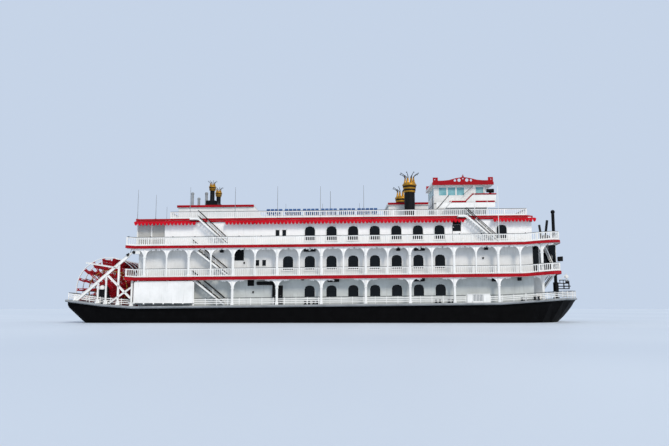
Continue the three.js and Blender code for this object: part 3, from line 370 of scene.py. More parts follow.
def turned(name, x, y, profile, paint, sides=20):
    """A turned shape: a disc drawn up ring by ring. Profile rows are radius and height."""
    bpy.ops.object.select_all(action="DESELECT")
    radius, height = profile[0]
    bpy.ops.mesh.primitive_circle_add(vertices=sides, radius=radius, fill_type="NGON",
                                      location=(0, 0, height))
    piece = bpy.context.object
    bpy.ops.object.mode_set(mode="EDIT")
    bpy.ops.mesh.select_all(action="SELECT")
    for next_radius, next_height in profile[1:]:
        bpy.ops.mesh.extrude_region_move(TRANSFORM_OT_translate={"value": (0, 0, next_height - height)})
        factor = next_radius / radius
        bpy.ops.transform.resize(value=(factor, factor, 1), center_override=(0, 0, next_height))
        radius, height = next_radius, next_height
    bpy.ops.mesh.select_all(action="SELECT")
    bpy.ops.mesh.normals_make_consistent(inside=False)
    bpy.ops.object.mode_set(mode="OBJECT")
    piece.location.x, piece.location.y = x, y
    return set_down(piece, name, paint)


def disc(name, x, y, z, radius, depth, paint, sides):
    """A short cylinder that lies along y."""
    bpy.ops.object.select_all(action="DESELECT")
    bpy.ops.mesh.primitive_cylinder_add(vertices=sides, radius=radius, depth=depth, location=(x, y, z),
                                        rotation=(math.pi / 2, 0, 0))
    return set_down(bpy.context.object, name, paint)


# %% Moves and copies
def moved(piece, x, y, z):
    piece.data.transform(Matrix.Translation((x, y, z)))
    return piece


def lay_along(piece, start, end):
    """Sets down a piece that was made along x from nought: its foot at start, pointing to end."""
    (xa, ya), (xb, yb) = start, end
    turn = Matrix.Rotation(math.atan2(yb - ya, xb - xa), 4, "Z")
    piece.data.transform(Matrix.Translation((xa, ya, 0)) @ turn)
    return piece


def to_port(piece):
    """Turns a starboard piece into its twin on the port side."""
    piece.data.transform(Matrix.Scale(-1, 4, (0, 1, 0)))
    piece.data.flip_normals()
    return piece


def in_a_row(piece, count, step):
    """Repeats the piece count times, each a step further on."""
    return apply_modifier(piece, "ARRAY", count=count, use_relative_offset=False,
                          use_constant_offset=True, constant_offset_displace=step)


def both_sides(piece):
    """Adds the mirror image across the boat's middle line."""
    return apply_modifier(piece, "MIRROR", use_axis=(False, True, False), use_mirror_merge=False)


def copy_of(piece, name, move=(0, 0, 0), turn=0.0):
    """A copy with its own mesh, turned about z in degrees and then moved."""
    pick(piece)
    bpy.ops.object.duplicate()
    copy = bpy.context.object
    copy.data.transform(Matrix.Translation(Vector(move)) @ Matrix.Rotation(math.radians(turn), 4, "Z"))
    copy.name = name
    return copy


# %% Cutting with another shape
def cut_with(piece, cutter):
    """Takes the cutter's shape out of the piece."""
    apply_modifier(piece, "BOOLEAN", operation="DIFFERENCE", object=cutter, solver="EXACT")
    bpy.data.objects.remove(cutter)
    return piece


def trim(piece, point, outward):
    """Cuts off all that lies beyond a plane and closes the cut."""
    pick(piece)
    bpy.ops.object.mode_set(mode="EDIT")
    bpy.ops.mesh.select_all(action="SELECT")
    bpy.ops.mesh.bisect(plane_co=point, plane_no=outward, clear_outer=True, use_fill=True)
    bpy.ops.object.mode_set(mode="OBJECT")
    return piece


# %% [markdown]
# ## Sheer
# Decks of a river steamer rise towards bow and stern in a long curve, the sheer. On this boat it is
# nearly straight amidships and turns up at both ends. A lattice could bend the pieces, but its
# smooth curve would leave them above or below the CAD decks. So each long piece is modelled flat,
# cut where the sheer changes, and its points are raised by the height of the sheer at their x.

# %% Sheer
AFT_KNEE, FORE_KNEE = -26.3, 21.59
AFT_RISE, FORE_RISE = -0.276, 0.227
SHEER_X = [-36, -33, -30.5, AFT_KNEE, FORE_KNEE, 31, 36]
SHEER_RISE = [0.72, 0.35, 0.03, AFT_RISE, FORE_RISE, 0.86, 0.98]
# The second and third deck turn up a little later than the main deck
UPPER_X = [-36, -33, -30.5, AFT_KNEE, FORE_KNEE, 25, 31, 36]
UPPER_RISE = [0.72, 0.35, 0.03, AFT_RISE, FORE_RISE, 0.27, 0.79, 0.91]
# From this height up there is no turn at the bow, only the even slope of the middle
SUN_LEVEL = 13.05
SUN_SLOPE = (FORE_RISE - AFT_RISE) / (FORE_KNEE - AFT_KNEE)
MAIN_TOP, SECOND_UNDER = 2.42, 5.84


def rise(x, z=0.0):
    """How far the boat rises at x, for a point z above the water."""
    x, z = np.asarray(x), np.asarray(z)
    share = np.clip((z - MAIN_TOP) / (SECOND_UNDER - MAIN_TOP), 0, 1)
    decks = np.interp(x, SHEER_X, SHEER_RISE) * (1 - share) + np.interp(x, UPPER_X, UPPER_RISE) * share
    even = FORE_RISE + SUN_SLOPE * (x - FORE_KNEE)
    return np.where((z > SUN_LEVEL) & (x > FORE_KNEE), even, decks)[()]


def follow_sheer(piece):
    """Cuts a piece where the sheer changes and raises its points to it."""
    low = min(v.co.x for v in piece.data.vertices)
    high = max(v.co.x for v in piece.data.vertices)
    breaks = [x for x in UPPER_X[1:-1] if low + 0.02 < x < high - 0.02]
    if breaks:
        pick(piece)
        bpy.ops.object.mode_set(mode="EDIT")
        for x in breaks:
            bpy.ops.mesh.select_all(action="SELECT")
            bpy.ops.mesh.bisect(plane_co=(x, 0, 0), plane_no=(1, 0, 0))
        bpy.ops.object.mode_set(mode="OBJECT")
    points = np.zeros(len(piece.data.vertices) * 3)
    piece.data.vertices.foreach_get("co", points)
    points = points.reshape(-1, 3)
    points[:, 2] += rise(points[:, 0], points[:, 2])
    piece.data.vertices.foreach_set("co", points.ravel())
    piece.data.update()
    return piece


# %% Setting a piece into the model
SMOOTH_BELOW = math.radians(35)
piece_count = 0


def settle(piece, body="vessel", stands_for=()):
    """Halves the piece into the model, smooths its gentle edges and lets it ride on its CAD body."""
    global piece_count
    piece.data.transform(INTO_MODEL)
    pick(piece)
    bpy.ops.object.shade_smooth_by_angle(angle=SMOOTH_BELOW)
    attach(piece, body)
    if stands_for:
        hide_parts(*stands_for)
    piece_count += 1
    return piece

# %% [markdown]
# ## Decks
# Each upper deck is a plate with a bright red band round its edge, a grey walking surface and a
# ceiling below in a darker warm grey, which is painted shade. The CAD decks are one colour and their
# stairs are solid wedges, so the decks are made again: a block, trimmed to the bow's outline by one cut
# after another, as a plate is sheared. An extruded curve would be quicker but leaves one huge face with
# uneven triangles.

# %% Sizes of the decks
SECOND_TOP = 6.18
THIRD_UNDER, THIRD_TOP = 10.0, 10.32
SUN_UNDER, SUN_TOP = 13.82, 14.06
HALF_BEAM = 9.0
UPPER_OUTLINE = [(-27.55, HALF_BEAM), (26.8, HALF_BEAM), (28.9, 8.55), (30.25, 7.4), (31.0, 5.4),
                 (31.4, 2.5), (31.5, 0.0)]
SUN_OUTLINE = [(-26.7, 7.7), (26.0, 7.7), (26.9, 7.0), (27.2, 5.4)]
WALL = 7.6


def paint_faces(piece, paint, test):
    """Paints the faces whose normal passes the test."""
    piece.data.materials.append(paint)
    number = len(piece.data.materials) - 1
    for face in piece.data.polygons:
        if test(face.normal):
            face.material_index = number


def deck_plate(name, outline, under, top):
    """A plate trimmed to its outline: sanded above, red at its edge, a darker warm grey below as painted
    shade.
    """
    half = outline[0][1]
    plate = block(name, (outline[0][0], outline[-1][0]), (-half, half), (under, top), deck_paint)
    for (xa, ya), (xb, yb) in zip(outline[1:], outline[2:]):
        trim(plate, (xa, ya, under), (ya - yb, xb - xa, 0))
        trim(plate, (xa, -ya, under), (ya - yb, xa - xb, 0))
    paint_faces(plate, red_enamel, lambda n: abs(n.z) < 0.5)
    # The underside takes the darker grey as painted shade
    paint_faces(plate, shaded_ceiling_enamel, lambda n: n.z < -0.5)
    return plate


def edge_strip(outline, under, top):
    """A red strake round the edge of a deck, hanging a little lower than its plate."""
    parts = []
    for (xa, ya), (xb, yb) in zip(outline, outline[1:]):
        strip = block("strake", (0, math.hypot(xb - xa, yb - ya)), (-0.03, 0.01), (under, top), red_enamel)
        parts.append(lay_along(strip, (xa, -ya), (xb, -yb)))
    return both_sides(join_up("strake", parts))


def opening_in(plate, x, y, z):
    """Cuts a well through a plate; its edges are white."""
    return cut_with(plate, block("well", x, y, z, white_enamel))


second_plate = deck_plate("second_plate", UPPER_OUTLINE, SECOND_UNDER, SECOND_TOP)
third_plate = deck_plate("third_plate", UPPER_OUTLINE, THIRD_UNDER, THIRD_TOP)
sun_plate = deck_plate("sun_plate", SUN_OUTLINE, SUN_UNDER, SUN_TOP)

# %% Wells for the wheel and the stairs
opening_in(second_plate, (-28.5, -26.2), (-6.3, 6.3), (5.5, 6.5))
# Each stair well: its plate, a height inside the plate, its x and its distances from the middle line
STAIR_WELLS = [
    (second_plate, 6.0, (-18.2, -15.1), (7.74, 8.61)),
    (third_plate, 10.2, (-18.2, -15.1), (7.74, 8.61)),
    (second_plate, 6.0, (28.2, 30.2), (5.05, 5.9)),
    (third_plate, 10.2, (28.9, 30.2), (4.15, 5.0)),
]
for side in (-1, 1):
    for plate, level, x, (inner, outer) in STAIR_WELLS:
        opening_in(plate, x, sorted((side * inner, side * outer)), (level - 0.5, level + 0.5))
second_plate = join_up("second_plate", [second_plate, edge_strip(UPPER_OUTLINE, 5.74, 6.15)])
third_plate = join_up("third_plate", [third_plate, edge_strip(UPPER_OUTLINE, 9.95, 10.3)])
print("deck faces:", [len(p.data.polygons) for p in (second_plate, third_plate, sun_plate)])

# %% [markdown]
# ## Stairs
# A ship's stair is two steel strings with treads between them and a pipe handrail on each side. One
# tread is made and set in a row, each a step further and higher. The flights hang from the deck they
# climb to and are bent with it.

# %% Stairs
STAIR_IN, STAIR_OUT = -7.82, -8.54
STAIR_RAIL = 0.98
TREADS = 12


def stair(name, foot, head, inner=STAIR_IN, outer=STAIR_OUT):
    """A flight from foot to head, each given as (x, z)."""
    run, climb = (head[0] - foot[0]) / TREADS, (head[1] - foot[1]) / TREADS
    parts = [spar("string", (foot[0], y, foot[1] + 0.06), (head[0], y, head[1] - 0.1), 0.06, 0.2,
                  white_enamel, 0.01) for y in (inner, outer)]
    tread = block("tread", sorted((foot[0], foot[0] + run * 0.8)), sorted((inner, outer)),
                  (foot[1] + climb - 0.05, foot[1] + climb), wall_enamel, 0.012)
    parts.append(in_a_row(tread, TREADS - 1, (run, 0, climb)))
    for y in (inner, outer):
        start = Vector((foot[0], y, foot[1]))
        end = Vector((head[0], y, head[1]))
        for height, width in ((STAIR_RAIL, 0.055), (0.26, 0.045)):
            parts.append(rod("handrail", start + Vector((0, 0, height)), end + Vector((0, 0, height)),
                             width, fitting_black, 8))
        for share in (0.02, 0.34, 0.66, 0.98):
            base = start.lerp(end, share)
            parts.append(rod("stanchion", base + Vector((0, 0, 0.05)), base + Vector((0, 0, STAIR_RAIL)),
                             0.026, white_enamel, 8))
    return join_up(name, parts)


def with_stairs(plate, name, flights, node):
    """Joins the flights that hang from a deck to its plate, on both sides, and settles it."""
    flights = [both_sides(f) for f in flights]
    deck = join_up(name, [plate, *flights])
    return settle(follow_sheer(deck), stands_for=[node])


with_stairs(second_plate, "second_deck_dressed", [
    stair("aft_main", (-14.45, MAIN_TOP), (-19.0, SECOND_TOP)),
    stair("bow_main", (27.3, MAIN_TOP), (30.2, SECOND_TOP), -5.1, -5.85),
], "second_deck")
with_stairs(third_plate, "third_deck_dressed", [
    stair("aft_second", (-14.0, SECOND_TOP), (-19.1, THIRD_TOP)),
    stair("bow_second", (30.5, SECOND_TOP), (28.9, THIRD_TOP), -4.2, -4.95),
], "third_deck")
landings = []
for x in (-19.3, 16.5):
    landing = block("landing", (x, x + 1.1), (-8.58, -7.65), (SUN_UNDER, SUN_TOP), deck_paint)
    paint_faces(landing, white_enamel, lambda n: n.z < 0.5)
    landings.append(both_sides(landing))
sun_plate = join_up("sun_plate", [sun_plate, *landings])
with_stairs(sun_plate, "sun_deck_dressed", [
    stair("aft_third", (-14.2, THIRD_TOP), (-18.2, SUN_TOP)),
    stair("forward_third", (21.6, THIRD_TOP), (17.6, SUN_TOP)),
], "sun_deck")

# %% [markdown]
# ## Deck beams and the guard
# From the water one looks up at the deck beams over the walkways, so they are made, one per post.
# Round the main deck runs the guard, a half-round steel strip that takes the knocks of the quay.

# %% Beams and guard
POST_FIRST, POST_STEP, POST_COUNT = -25.05, 2.915, 18
BOW_START = 22


def bow_curve(length, half, angles):
    """Points of a quarter of an ellipse round the bow, at those angles in degrees."""
    return [(BOW_START + length * math.sin(math.radians(a)), half * math.cos(math.radians(a)))
            for a in angles]


for name, under in (("second", SECOND_UNDER), ("third", THIRD_UNDER)):
    beam = block(f"{name}_beams", (POST_FIRST - 0.06, POST_FIRST + 0.06), (-8.6, -7.62),
                 (under - 0.14, under), white_enamel)
    in_a_row(beam, POST_COUNT, (POST_STEP, 0, 0))
    settle(follow_sheer(both_sides(beam)))

GUARD_Z = 2.27
MAIN_OUTLINE = [(-35.1, HALF_BEAM), *bow_curve(12.5, HALF_BEAM, range(0, 100, 10))]
guard_parts = []
for (xa, ya), (xb, yb) in zip(MAIN_OUTLINE, MAIN_OUTLINE[1:]):
    stops = [xa] + [x for x in SHEER_X if xa < x < xb] + [xb]
    for x0, x1 in zip(stops, stops[1:]):
        y0, y1 = (ya + (yb - ya) * (x - xa) / max(xb - xa, 1e-6) for x in (x0, x1))
        guard_parts.append(rod("guard", (x0, -y0, GUARD_Z + rise(x0)), (x1, -y1, GUARD_Z + rise(x1)), 0.1,
                               guard_grey, 12))
guard = both_sides(join_up("deck_edge_guard", guard_parts))
settle(guard)

# %% [markdown]
# ## Balusters and posts
# The upper railings are boards whose upper part is sawn slim, under a dark pipe that the hand holds.
# One board is made: a block, cut at three heights, its upper part drawn in. The array copies it
# along each straight run of rail. A picture of slots on a flat strip would be lighter, but it shows
# no thickness from the side.

# %% Sawn balusters
BALUSTER_PITCH = 0.277


def select_points(piece, test):
    """Selects the points whose place passes the test, and nothing else."""
    for edge in piece.data.edges:
        edge.select = False
    for face in piece.data.polygons:
        face.select = False
    for vertex in piece.data.vertices:
        vertex.select = test(vertex.co)


def sawn_baluster(foot, head, width, solid):
    """A board of that width whose upper part, above the share solid, is sawn in to less than half."""
    board = block("baluster", (-width / 2, width / 2), (-0.02, 0.02), (foot, head), white_enamel)
    pick(board)
    bpy.ops.object.mode_set(mode="EDIT")
    for share in (solid, solid + 0.1, 0.92):
        bpy.ops.mesh.select_all(action="SELECT")
        bpy.ops.mesh.bisect(plane_co=(0, 0, foot + (head - foot) * share), plane_no=(0, 0, 1))
    bpy.ops.object.mode_set(mode="OBJECT")
    low, high = (foot + (head - foot) * share for share in (solid + 0.05, 0.95))
    select_points(board, lambda co: low < co.z < high)
    bpy.ops.object.mode_set(mode="EDIT")
    bpy.ops.transform.resize(value=(0.32, 1, 1), center_override=(0, 0, (low + high) / 2))
    bpy.ops.object.mode_set(mode="OBJECT")
    return board


def balustrade(name, path, foot, height, width=0.26, solid=0.08):
    """Sawn balusters between a low and a top rail along a starboard path, and the same to port."""
    parts = []
    for (xa, ya), (xb, yb) in zip(path, path[1:]):
        length = math.hypot(xb - xa, yb - ya)
        count = max(1, round(length / BALUSTER_PITCH))
        pitch = length / count
        boards = sawn_baluster(foot + 0.1, foot + height - 0.12, width, solid)
        in_a_row(moved(boards, pitch / 2, 0, 0), count, (pitch, 0, 0))
        run = [
            boards,
            block("low_rail", (0, length), (-0.035, 0.035), (foot + 0.03, foot + 0.13), white_enamel, 0.01),
            block("upper_rail", (0, length), (-0.035, 0.035), (foot + height - 0.18, foot + height - 0.06),
                  white_enamel, 0.01),
            block("hand_rail", (0, length), (-0.05, 0.05), (foot + height - 0.07, foot + height),
                  grey_enamel, 0.018),
        ]
        posts = max(1, round(length / POST_STEP))
        newel = block("newel", (-0.06, 0.06), (-0.055, 0.055), (foot, foot + height - 0.05),
                      white_enamel, 0.012)
        run.append(in_a_row(newel, posts + 1, (length / posts, 0, 0)))
        parts.append(lay_along(join_up("panel", run), (xa, ya), (xb, yb)))
    return both_sides(join_up(name, parts))


RAIL_Y = -8.86
RAIL_PATH = [(-27.45, RAIL_Y), (26.75, RAIL_Y), (28.8, -8.42), (30.12, -7.3), (30.86, -5.34),
             (31.26, -2.45), (31.26, 0)]
third_railing = balustrade("third_deck_railing", RAIL_PATH, THIRD_TOP, 1.17)
settle(follow_sheer(third_railing), stands_for=["third_rail"])
bow_railing = balustrade("second_deck_bow_railing", [(26.9, -8.84), *RAIL_PATH[2:]], SECOND_TOP, 1.13)
settle(follow_sheer(bow_railing), stands_for=["second_bow_rail"])
sun_railing = balustrade("sun_deck_railing", [(-22.1, 0), (-22.1, -7.55), (25.9, -7.55), (25.9, 0)],
                         SUN_TOP, 0.97)
settle(follow_sheer(sun_railing), stands_for=["sun_rail"])
print("railing faces:", len(third_railing.data.polygons), len(sun_railing.data.polygons))

# %% [markdown]
# ## Posts and sawn brackets
# The galleries give the boat its lace: posts with a foot and a cap, and at each head a pair of
# brackets whose arch is a quarter round, ending in small scallops. A bracket is a board with a round
# cut out of it, so that is how it is made here too, with a Boolean. One post is finished and copied.

# %% A post with its brackets
POST_Y = -8.72
BRACKET_REACH, BRACKET_DROP = 0.8, 1.08
SCALLOPS = [(0.09, 0.14), (0.33, 0.11), (0.53, 0.08)]


def bracket_pair(head, half):
    """Two quarter-round brackets in one board, with three scallops beyond each."""
    end, foot = BRACKET_REACH + half, head - BRACKET_DROP
    # The board and its scallops take the lighter white: painted light on brackets that hang in the deck's
    # shade
    board = block("bracket", (-BRACKET_REACH - half, end), (-0.045, 0.045), (foot, head),
                  lit_wall_enamel)
    for side in (-1, 1):
        cutter = disc("cutter", 0, 0, 0, 1, 0.4, None, 40)
        cutter.data.transform(Matrix.Translation((side * end, 0, foot))
                              @ Matrix.Diagonal((BRACKET_REACH - 0.02, 1, BRACKET_DROP - 0.15, 1)))
        cut_with(board, cutter)
    parts = [board]
    for side in (-1, 1):
        for step, radius in SCALLOPS:
            parts.append(disc("scallop", side * (end + step), 0, head - 0.13, radius, 0.09,
                              lit_wall_enamel, 14))
    return join_up("bracket", parts)


def post(foot, head, half):
    """A post with its plinth, cap and brackets; half is half its width."""
    parts = [
        block("shaft", (-half, half), (-half * 0.8, half * 0.8), (foot, head), white_enamel, half * 0.25),
        block("plinth", (-half * 1.35, half * 1.35), (-half * 1.1, half * 1.1), (foot, foot + 0.3),
              white_enamel, 0.02),
        block("cap", (-half * 1.45, half * 1.45), (-half * 1.1, half * 1.1), (head - 1.3, head - 1.18),
              white_enamel, 0.03),
        bracket_pair(head - 0.08, half),
    ]
    return join_up("post", parts)


def gallery(name, foot, head, thick_posts, thin_posts, aft, fore, railing, nodes, end_posts=()):
    """Posts at the places with those numbers, under a beam from aft to fore, with their railing."""
    parts = [railing]
    for numbers, half in ((thick_posts, 0.15), (thin_posts, 0.09)):
        if numbers:
            column = moved(post(foot, head, half), POST_FIRST + POST_STEP * numbers[0], POST_Y, 0)
            step = POST_STEP * (numbers[1] - numbers[0]) if len(numbers) > 1 else 0
            in_a_row(column, len(numbers), (step, 0, 0))
            parts.append(both_sides(column))
    parts.append(both_sides(block("head_beam", (aft, fore), (POST_Y - 0.07, POST_Y + 0.07),
                                  (head - 0.12, head), white_enamel, 0.015)))
    for x in end_posts:
        parts.append(both_sides(block("end_post", (x - 0.09, x + 0.09), (POST_Y - 0.08, POST_Y + 0.08),
                                      (foot, head), white_enamel, 0.02)))
    whole = join_up(name, parts)
    return settle(follow_sheer(whole), stands_for=nodes)


second_railing = balustrade("second_railing", [(-27.45, POST_Y), (26.85, POST_Y)], SECOND_TOP, 1.13, 0.22)
gallery("second_deck_gallery", SECOND_TOP, THIRD_UNDER, range(0, 17, 2), range(1, 18, 2), -27.45, 26.85,
        second_railing, ["second_gallery_starboard", "second_gallery_port"])

# %% [markdown]
# ## Main deck rail and sign board
# The main deck is a working deck, so its rail is flat bars, not lace. Aft, a large board fills a
# whole bay. On the boat it is a sign; here it stays blank, a panel in a raised frame.

# %% Bar rails
BAR_HEIGHTS = (0.28, 0.52, 0.76)
BAR_POST_STEP = POST_STEP / 2


def bar_rail(name, path, foot, height):
    """Flat bars between stanchions along a starboard path, and the same to port."""
    parts = []
    for (xa, ya), (xb, yb) in zip(path, path[1:]):
        length = math.hypot(xb - xa, yb - ya)
        run = [block("bar", (0, length), (-0.03, 0.03), (foot + z - 0.05, foot + z + 0.05),
                     white_enamel, 0.015) for z in BAR_HEIGHTS]
        run.append(block("top_bar", (0, length), (-0.04, 0.04), (foot + height - 0.07, foot + height),
                         grey_enamel, 0.02))
        posts = max(1, round(length / BAR_POST_STEP))
        stanchion = block("stanchion", (-0.04, 0.04), (-0.045, 0.045), (foot, foot + height - 0.04),
                          white_enamel, 0.012)
        run.append(in_a_row(stanchion, posts + 1, (length / posts, 0, 0)))
        parts.append(lay_along(join_up("panel", run), (xa, ya), (xb, yb)))
    return both_sides(join_up(name, parts))


main_railing = bar_rail("main_railing", [(-18.4, POST_Y), (17.2, POST_Y)], MAIN_TOP, 1.0)
fore_railing = bar_rail("fore_railing", [(20.4, POST_Y), (25.0, POST_Y)], MAIN_TOP, 1.0)

# %% Sign board
board = block("board", (-26.2, -18.5), (POST_Y - 0.14, POST_Y - 0.06), (2.75, 5.55), white_enamel, 0.02)
frame_parts = [board]
for x in ((-26.3, -26.1), (-18.6, -18.4)):
    frame_parts.append(block("frame", x, (POST_Y - 0.18, POST_Y - 0.05), (2.65, 5.65), white_enamel, 0.03))
for z in ((2.65, 2.8), (5.5, 5.65)):
    frame_parts.append(block("frame", (-26.3, -18.4), (POST_Y - 0.18, POST_Y - 0.05), z,
                             white_enamel, 0.03))
sign = both_sides(join_up("sign", frame_parts))
gallery("main_deck_gallery", MAIN_TOP, SECOND_UNDER, range(4, 17, 2), (), -18.5, 26.85,
        join_up("rails", [main_railing, fore_railing, sign]),
        ["main_gallery_starboard", "main_gallery_port"], (-18.5,))
MAIN_BOW_PATH = [*bow_curve(12.35, RAIL_Y, range(15, 90, 15)), (33.95, 0)]
main_bow = bar_rail("main_deck_bow_rail", MAIN_BOW_PATH, MAIN_TOP, 1.0)
settle(follow_sheer(main_bow), stands_for=["main_bow_rail"])

# %% [markdown]
# ## Windows
# The windows have half-round heads. The wall has their openings already, so each gets a white casing
# round it, a dark sash and a pane. The casing starts as a plain sheet whose two upper corners are
# rounded by bevelling them as points, then inset and drawn out to its thickness.

# %% Arched sheets and casings
HEAD_CORNER = 0.6


def arch_sheet(name, x, y, width, sill, top, paint):
    """A flat sheet across y with a round head."""
    bpy.ops.object.select_all(action="DESELECT")
    middle = (sill + top) / 2
    bpy.ops.mesh.primitive_plane_add(size=1, location=(x, y, middle), rotation=(math.pi / 2, 0, 0))
    sheet = bpy.context.object
    sheet.scale = (width, top - sill, 1)
    set_down(sheet, name, paint)
    select_points(sheet, lambda co: co.z > middle)
    bpy.ops.object.mode_set(mode="EDIT")
    bpy.ops.mesh.bevel(offset=min(HEAD_CORNER, width / 2 * 0.999), segments=8, affect="VERTICES")
    bpy.ops.object.mode_set(mode="OBJECT")
    return sheet


def draw_out(sheet, depth):
    """Thickens a sheet by depth along y."""
    pick(sheet)
    bpy.ops.object.mode_set(mode="EDIT")
    bpy.ops.mesh.select_all(action="SELECT")
    bpy.ops.mesh.extrude_region_move(TRANSFORM_OT_translate={"value": (0, depth, 0)})
    bpy.ops.mesh.select_all(action="SELECT")
    bpy.ops.mesh.normals_make_consistent(inside=False)
    bpy.ops.object.mode_set(mode="OBJECT")
    return sheet


def casing(x, y, width, sill, top, rim, depth, paint):
    """A rim round an arched opening, rim metres wide."""
    sheet = arch_sheet("casing", x, y, width, sill, top, paint)
    bpy.ops.object.mode_set(mode="EDIT")
    bpy.ops.mesh.select_all(action="SELECT")
    bpy.ops.mesh.inset(thickness=rim, depth=0)
    bpy.ops.mesh.delete(type="FACE")
    bpy.ops.object.mode_set(mode="OBJECT")
    return draw_out(sheet, depth)


WINDOW_WIDTH = 1.42


def window(x, sill, top, trim_paint=white_enamel):
    """Casing, dark sash, pane, sill and meeting bar of one arched window in the starboard wall."""
    face, half, middle = -WALL - 0.05, WINDOW_WIDTH / 2, (sill + top) / 2
    parts = [
        casing(x, face, WINDOW_WIDTH + 0.2, sill - 0.06, top + 0.1, 0.13, 0.09, trim_paint),
        casing(x, -WALL + 0.03, WINDOW_WIDTH + 0.02, sill, top + 0.01, 0.06, 0.05, fitting_black),
        draw_out(arch_sheet("pane", x, -WALL + 0.05, WINDOW_WIDTH, sill, top, dark_glass), 0.02),
        block("sill", (x - half - 0.14, x + half + 0.14), (face - 0.05, -WALL + 0.02),
              (sill - 0.12, sill - 0.04), trim_paint, 0.015),
        block("meeting_bar", (x - half + 0.03, x + half - 0.03), (-WALL + 0.02, -WALL + 0.06),
              (middle - 0.03, middle + 0.01), fitting_black),
    ]
    return join_up("window", parts)


def square_window(x0, x1, sill, top):
    """A framed pane in the starboard wall."""
    y, rim = (-WALL - 0.04, -WALL + 0.08), 0.09
    parts = [
        block("pane", (x0, x1), (-WALL + 0.05, -WALL + 0.07), (sill, top), dark_glass),
        block("jamb", (x0 - rim, x0), y, (sill - rim, top + rim), white_enamel, 0.012),
        block("jamb", (x1, x1 + rim), y, (sill - rim, top + rim), white_enamel, 0.012),
        block("head", (x0 - rim, x1 + rim), y, (top, top + rim), white_enamel, 0.012),
        block("sill", (x0 - 0.12, x1 + 0.12), (-WALL - 0.07, -WALL + 0.08), (sill - rim, sill),
              white_enamel, 0.012),
    ]
    return join_up("square_window", parts)


# %% Rows of windows
WINDOW_FIRST, WINDOW_STEP = -3.3, 2.9


def window_row(count, first, sill, top, trim_paint):
    return in_a_row(window(first, sill, top, trim_paint), count, (WINDOW_STEP, 0, 0))


# Each deck's casings take the white of its wall; the main deck's darker white is painted shade
rows = {
    "main_windows": [window_row(7, WINDOW_FIRST, 3.3, 4.95, shaded_main_wall_enamel)],
    "second_windows": [window_row(8, WINDOW_FIRST - WINDOW_STEP, 6.98, 8.9, wall_enamel),
                       square_window(-10.55, -10.05, 7.6, 8.4), square_window(-9.65, -9.15, 7.6, 8.4)],
    "third_windows": [window_row(7, WINDOW_FIRST, 10.9, 12.87, white_enamel),
                      window(22.45, 10.9, 12.8),
                      square_window(-7.9, -7.4, 11.6, 12.4), square_window(-7.0, -6.5, 11.6, 12.4)],
}
for name, parts in rows.items():
    settle(follow_sheer(both_sides(join_up(name, parts))))

# %% Doors and windows in the end walls
HOUSE_FRONT, SECOND_BACK, THIRD_BACK = 26.5, -26.15, -26.4


def end_window(wall_x, out, y, z):
    """A framed pane on a wall that stands across the boat; out is 1 at the bow side and -1 aft."""
    def depth(near, far):
        return sorted((wall_x + out * near, wall_x + out * far))

    jamb = (z[0] - 0.1, z[1] + 0.1)
    return [
        block("pane", depth(-0.01, 0.03), y, z, dark_glass),
        block("jamb", depth(-0.01, 0.07), (y[0] - 0.1, y[0]), jamb, white_enamel, 0.015),
        block("jamb", depth(-0.01, 0.07), (y[1], y[1] + 0.1), jamb, white_enamel, 0.015),
        block("head", depth(-0.01, 0.08), (y[0] - 0.1, y[1] + 0.1), (z[1], z[1] + 0.11),
              white_enamel, 0.015),
        block("sill", depth(-0.01, 0.1), (y[0] - 0.13, y[1] + 0.13), (z[0] - 0.11, z[0]),
              white_enamel, 0.015),
    ]


def double_door(wall_x, out, foot):
    """Two leaves with glass over a panel, a knob on each."""
    parts = []
    for y in ((-0.94, -0.03), (0.03, 0.94)):
        parts += end_window(wall_x, out, y, (foot + 0.95, foot + 2.15))
        leaf = sorted((wall_x - out * 0.01, wall_x + out * 0.05))
        parts.append(block("leaf", leaf, y, (foot, foot + 0.86), white_enamel, 0.015))
        knob_y, knob_z = y[0] * 0.1, foot + 1.0
        parts.append(rod("knob", (wall_x, knob_y, knob_z), (wall_x + out * 0.12, knob_y, knob_z), 0.03,
                         bare_steel, 8))
    return parts


end_walls = []
for foot, places in ((MAIN_TOP + 0.1, (3.0,)), (SECOND_TOP + 0.1, (3.0,)), (THIRD_TOP + 0.1, (2.9, 5.4))):
    end_walls += double_door(HOUSE_FRONT, 1, foot)
    for place in places:
        for y in (-place, place):
            end_walls += end_window(HOUSE_FRONT, 1, (y - 0.6, y + 0.6), (foot + 0.75, foot + 2.3))
for y in (-4.6, -2.0, 2.0, 4.6):
    end_walls += end_window(THIRD_BACK, -1, (y - 0.6, y + 0.6), (11.1, 12.7))
    end_walls += end_window(SECOND_BACK, -1, (y - 0.6, y + 0.6), (7.1, 8.7))
end_walls += double_door(THIRD_BACK, -1, THIRD_TOP + 0.1)
for level in (SECOND_TOP, THIRD_TOP):
    end_walls.append(block("coaming", (HOUSE_FRONT - 0.02, HOUSE_FRONT + 0.05), (-WALL - 0.03, WALL + 0.03),
                           (level - 0.02, level + 0.08), white_enamel, 0.01))
    for y in (-WALL, WALL):
        end_walls.append(block("coaming", (21.2, HOUSE_FRONT + 0.03), (y - 0.03, y + 0.03),
                               (level - 0.02, level + 0.3), white_enamel, 0.01))
settle(follow_sheer(join_up("end_wall_doors_and_windows", end_walls)))

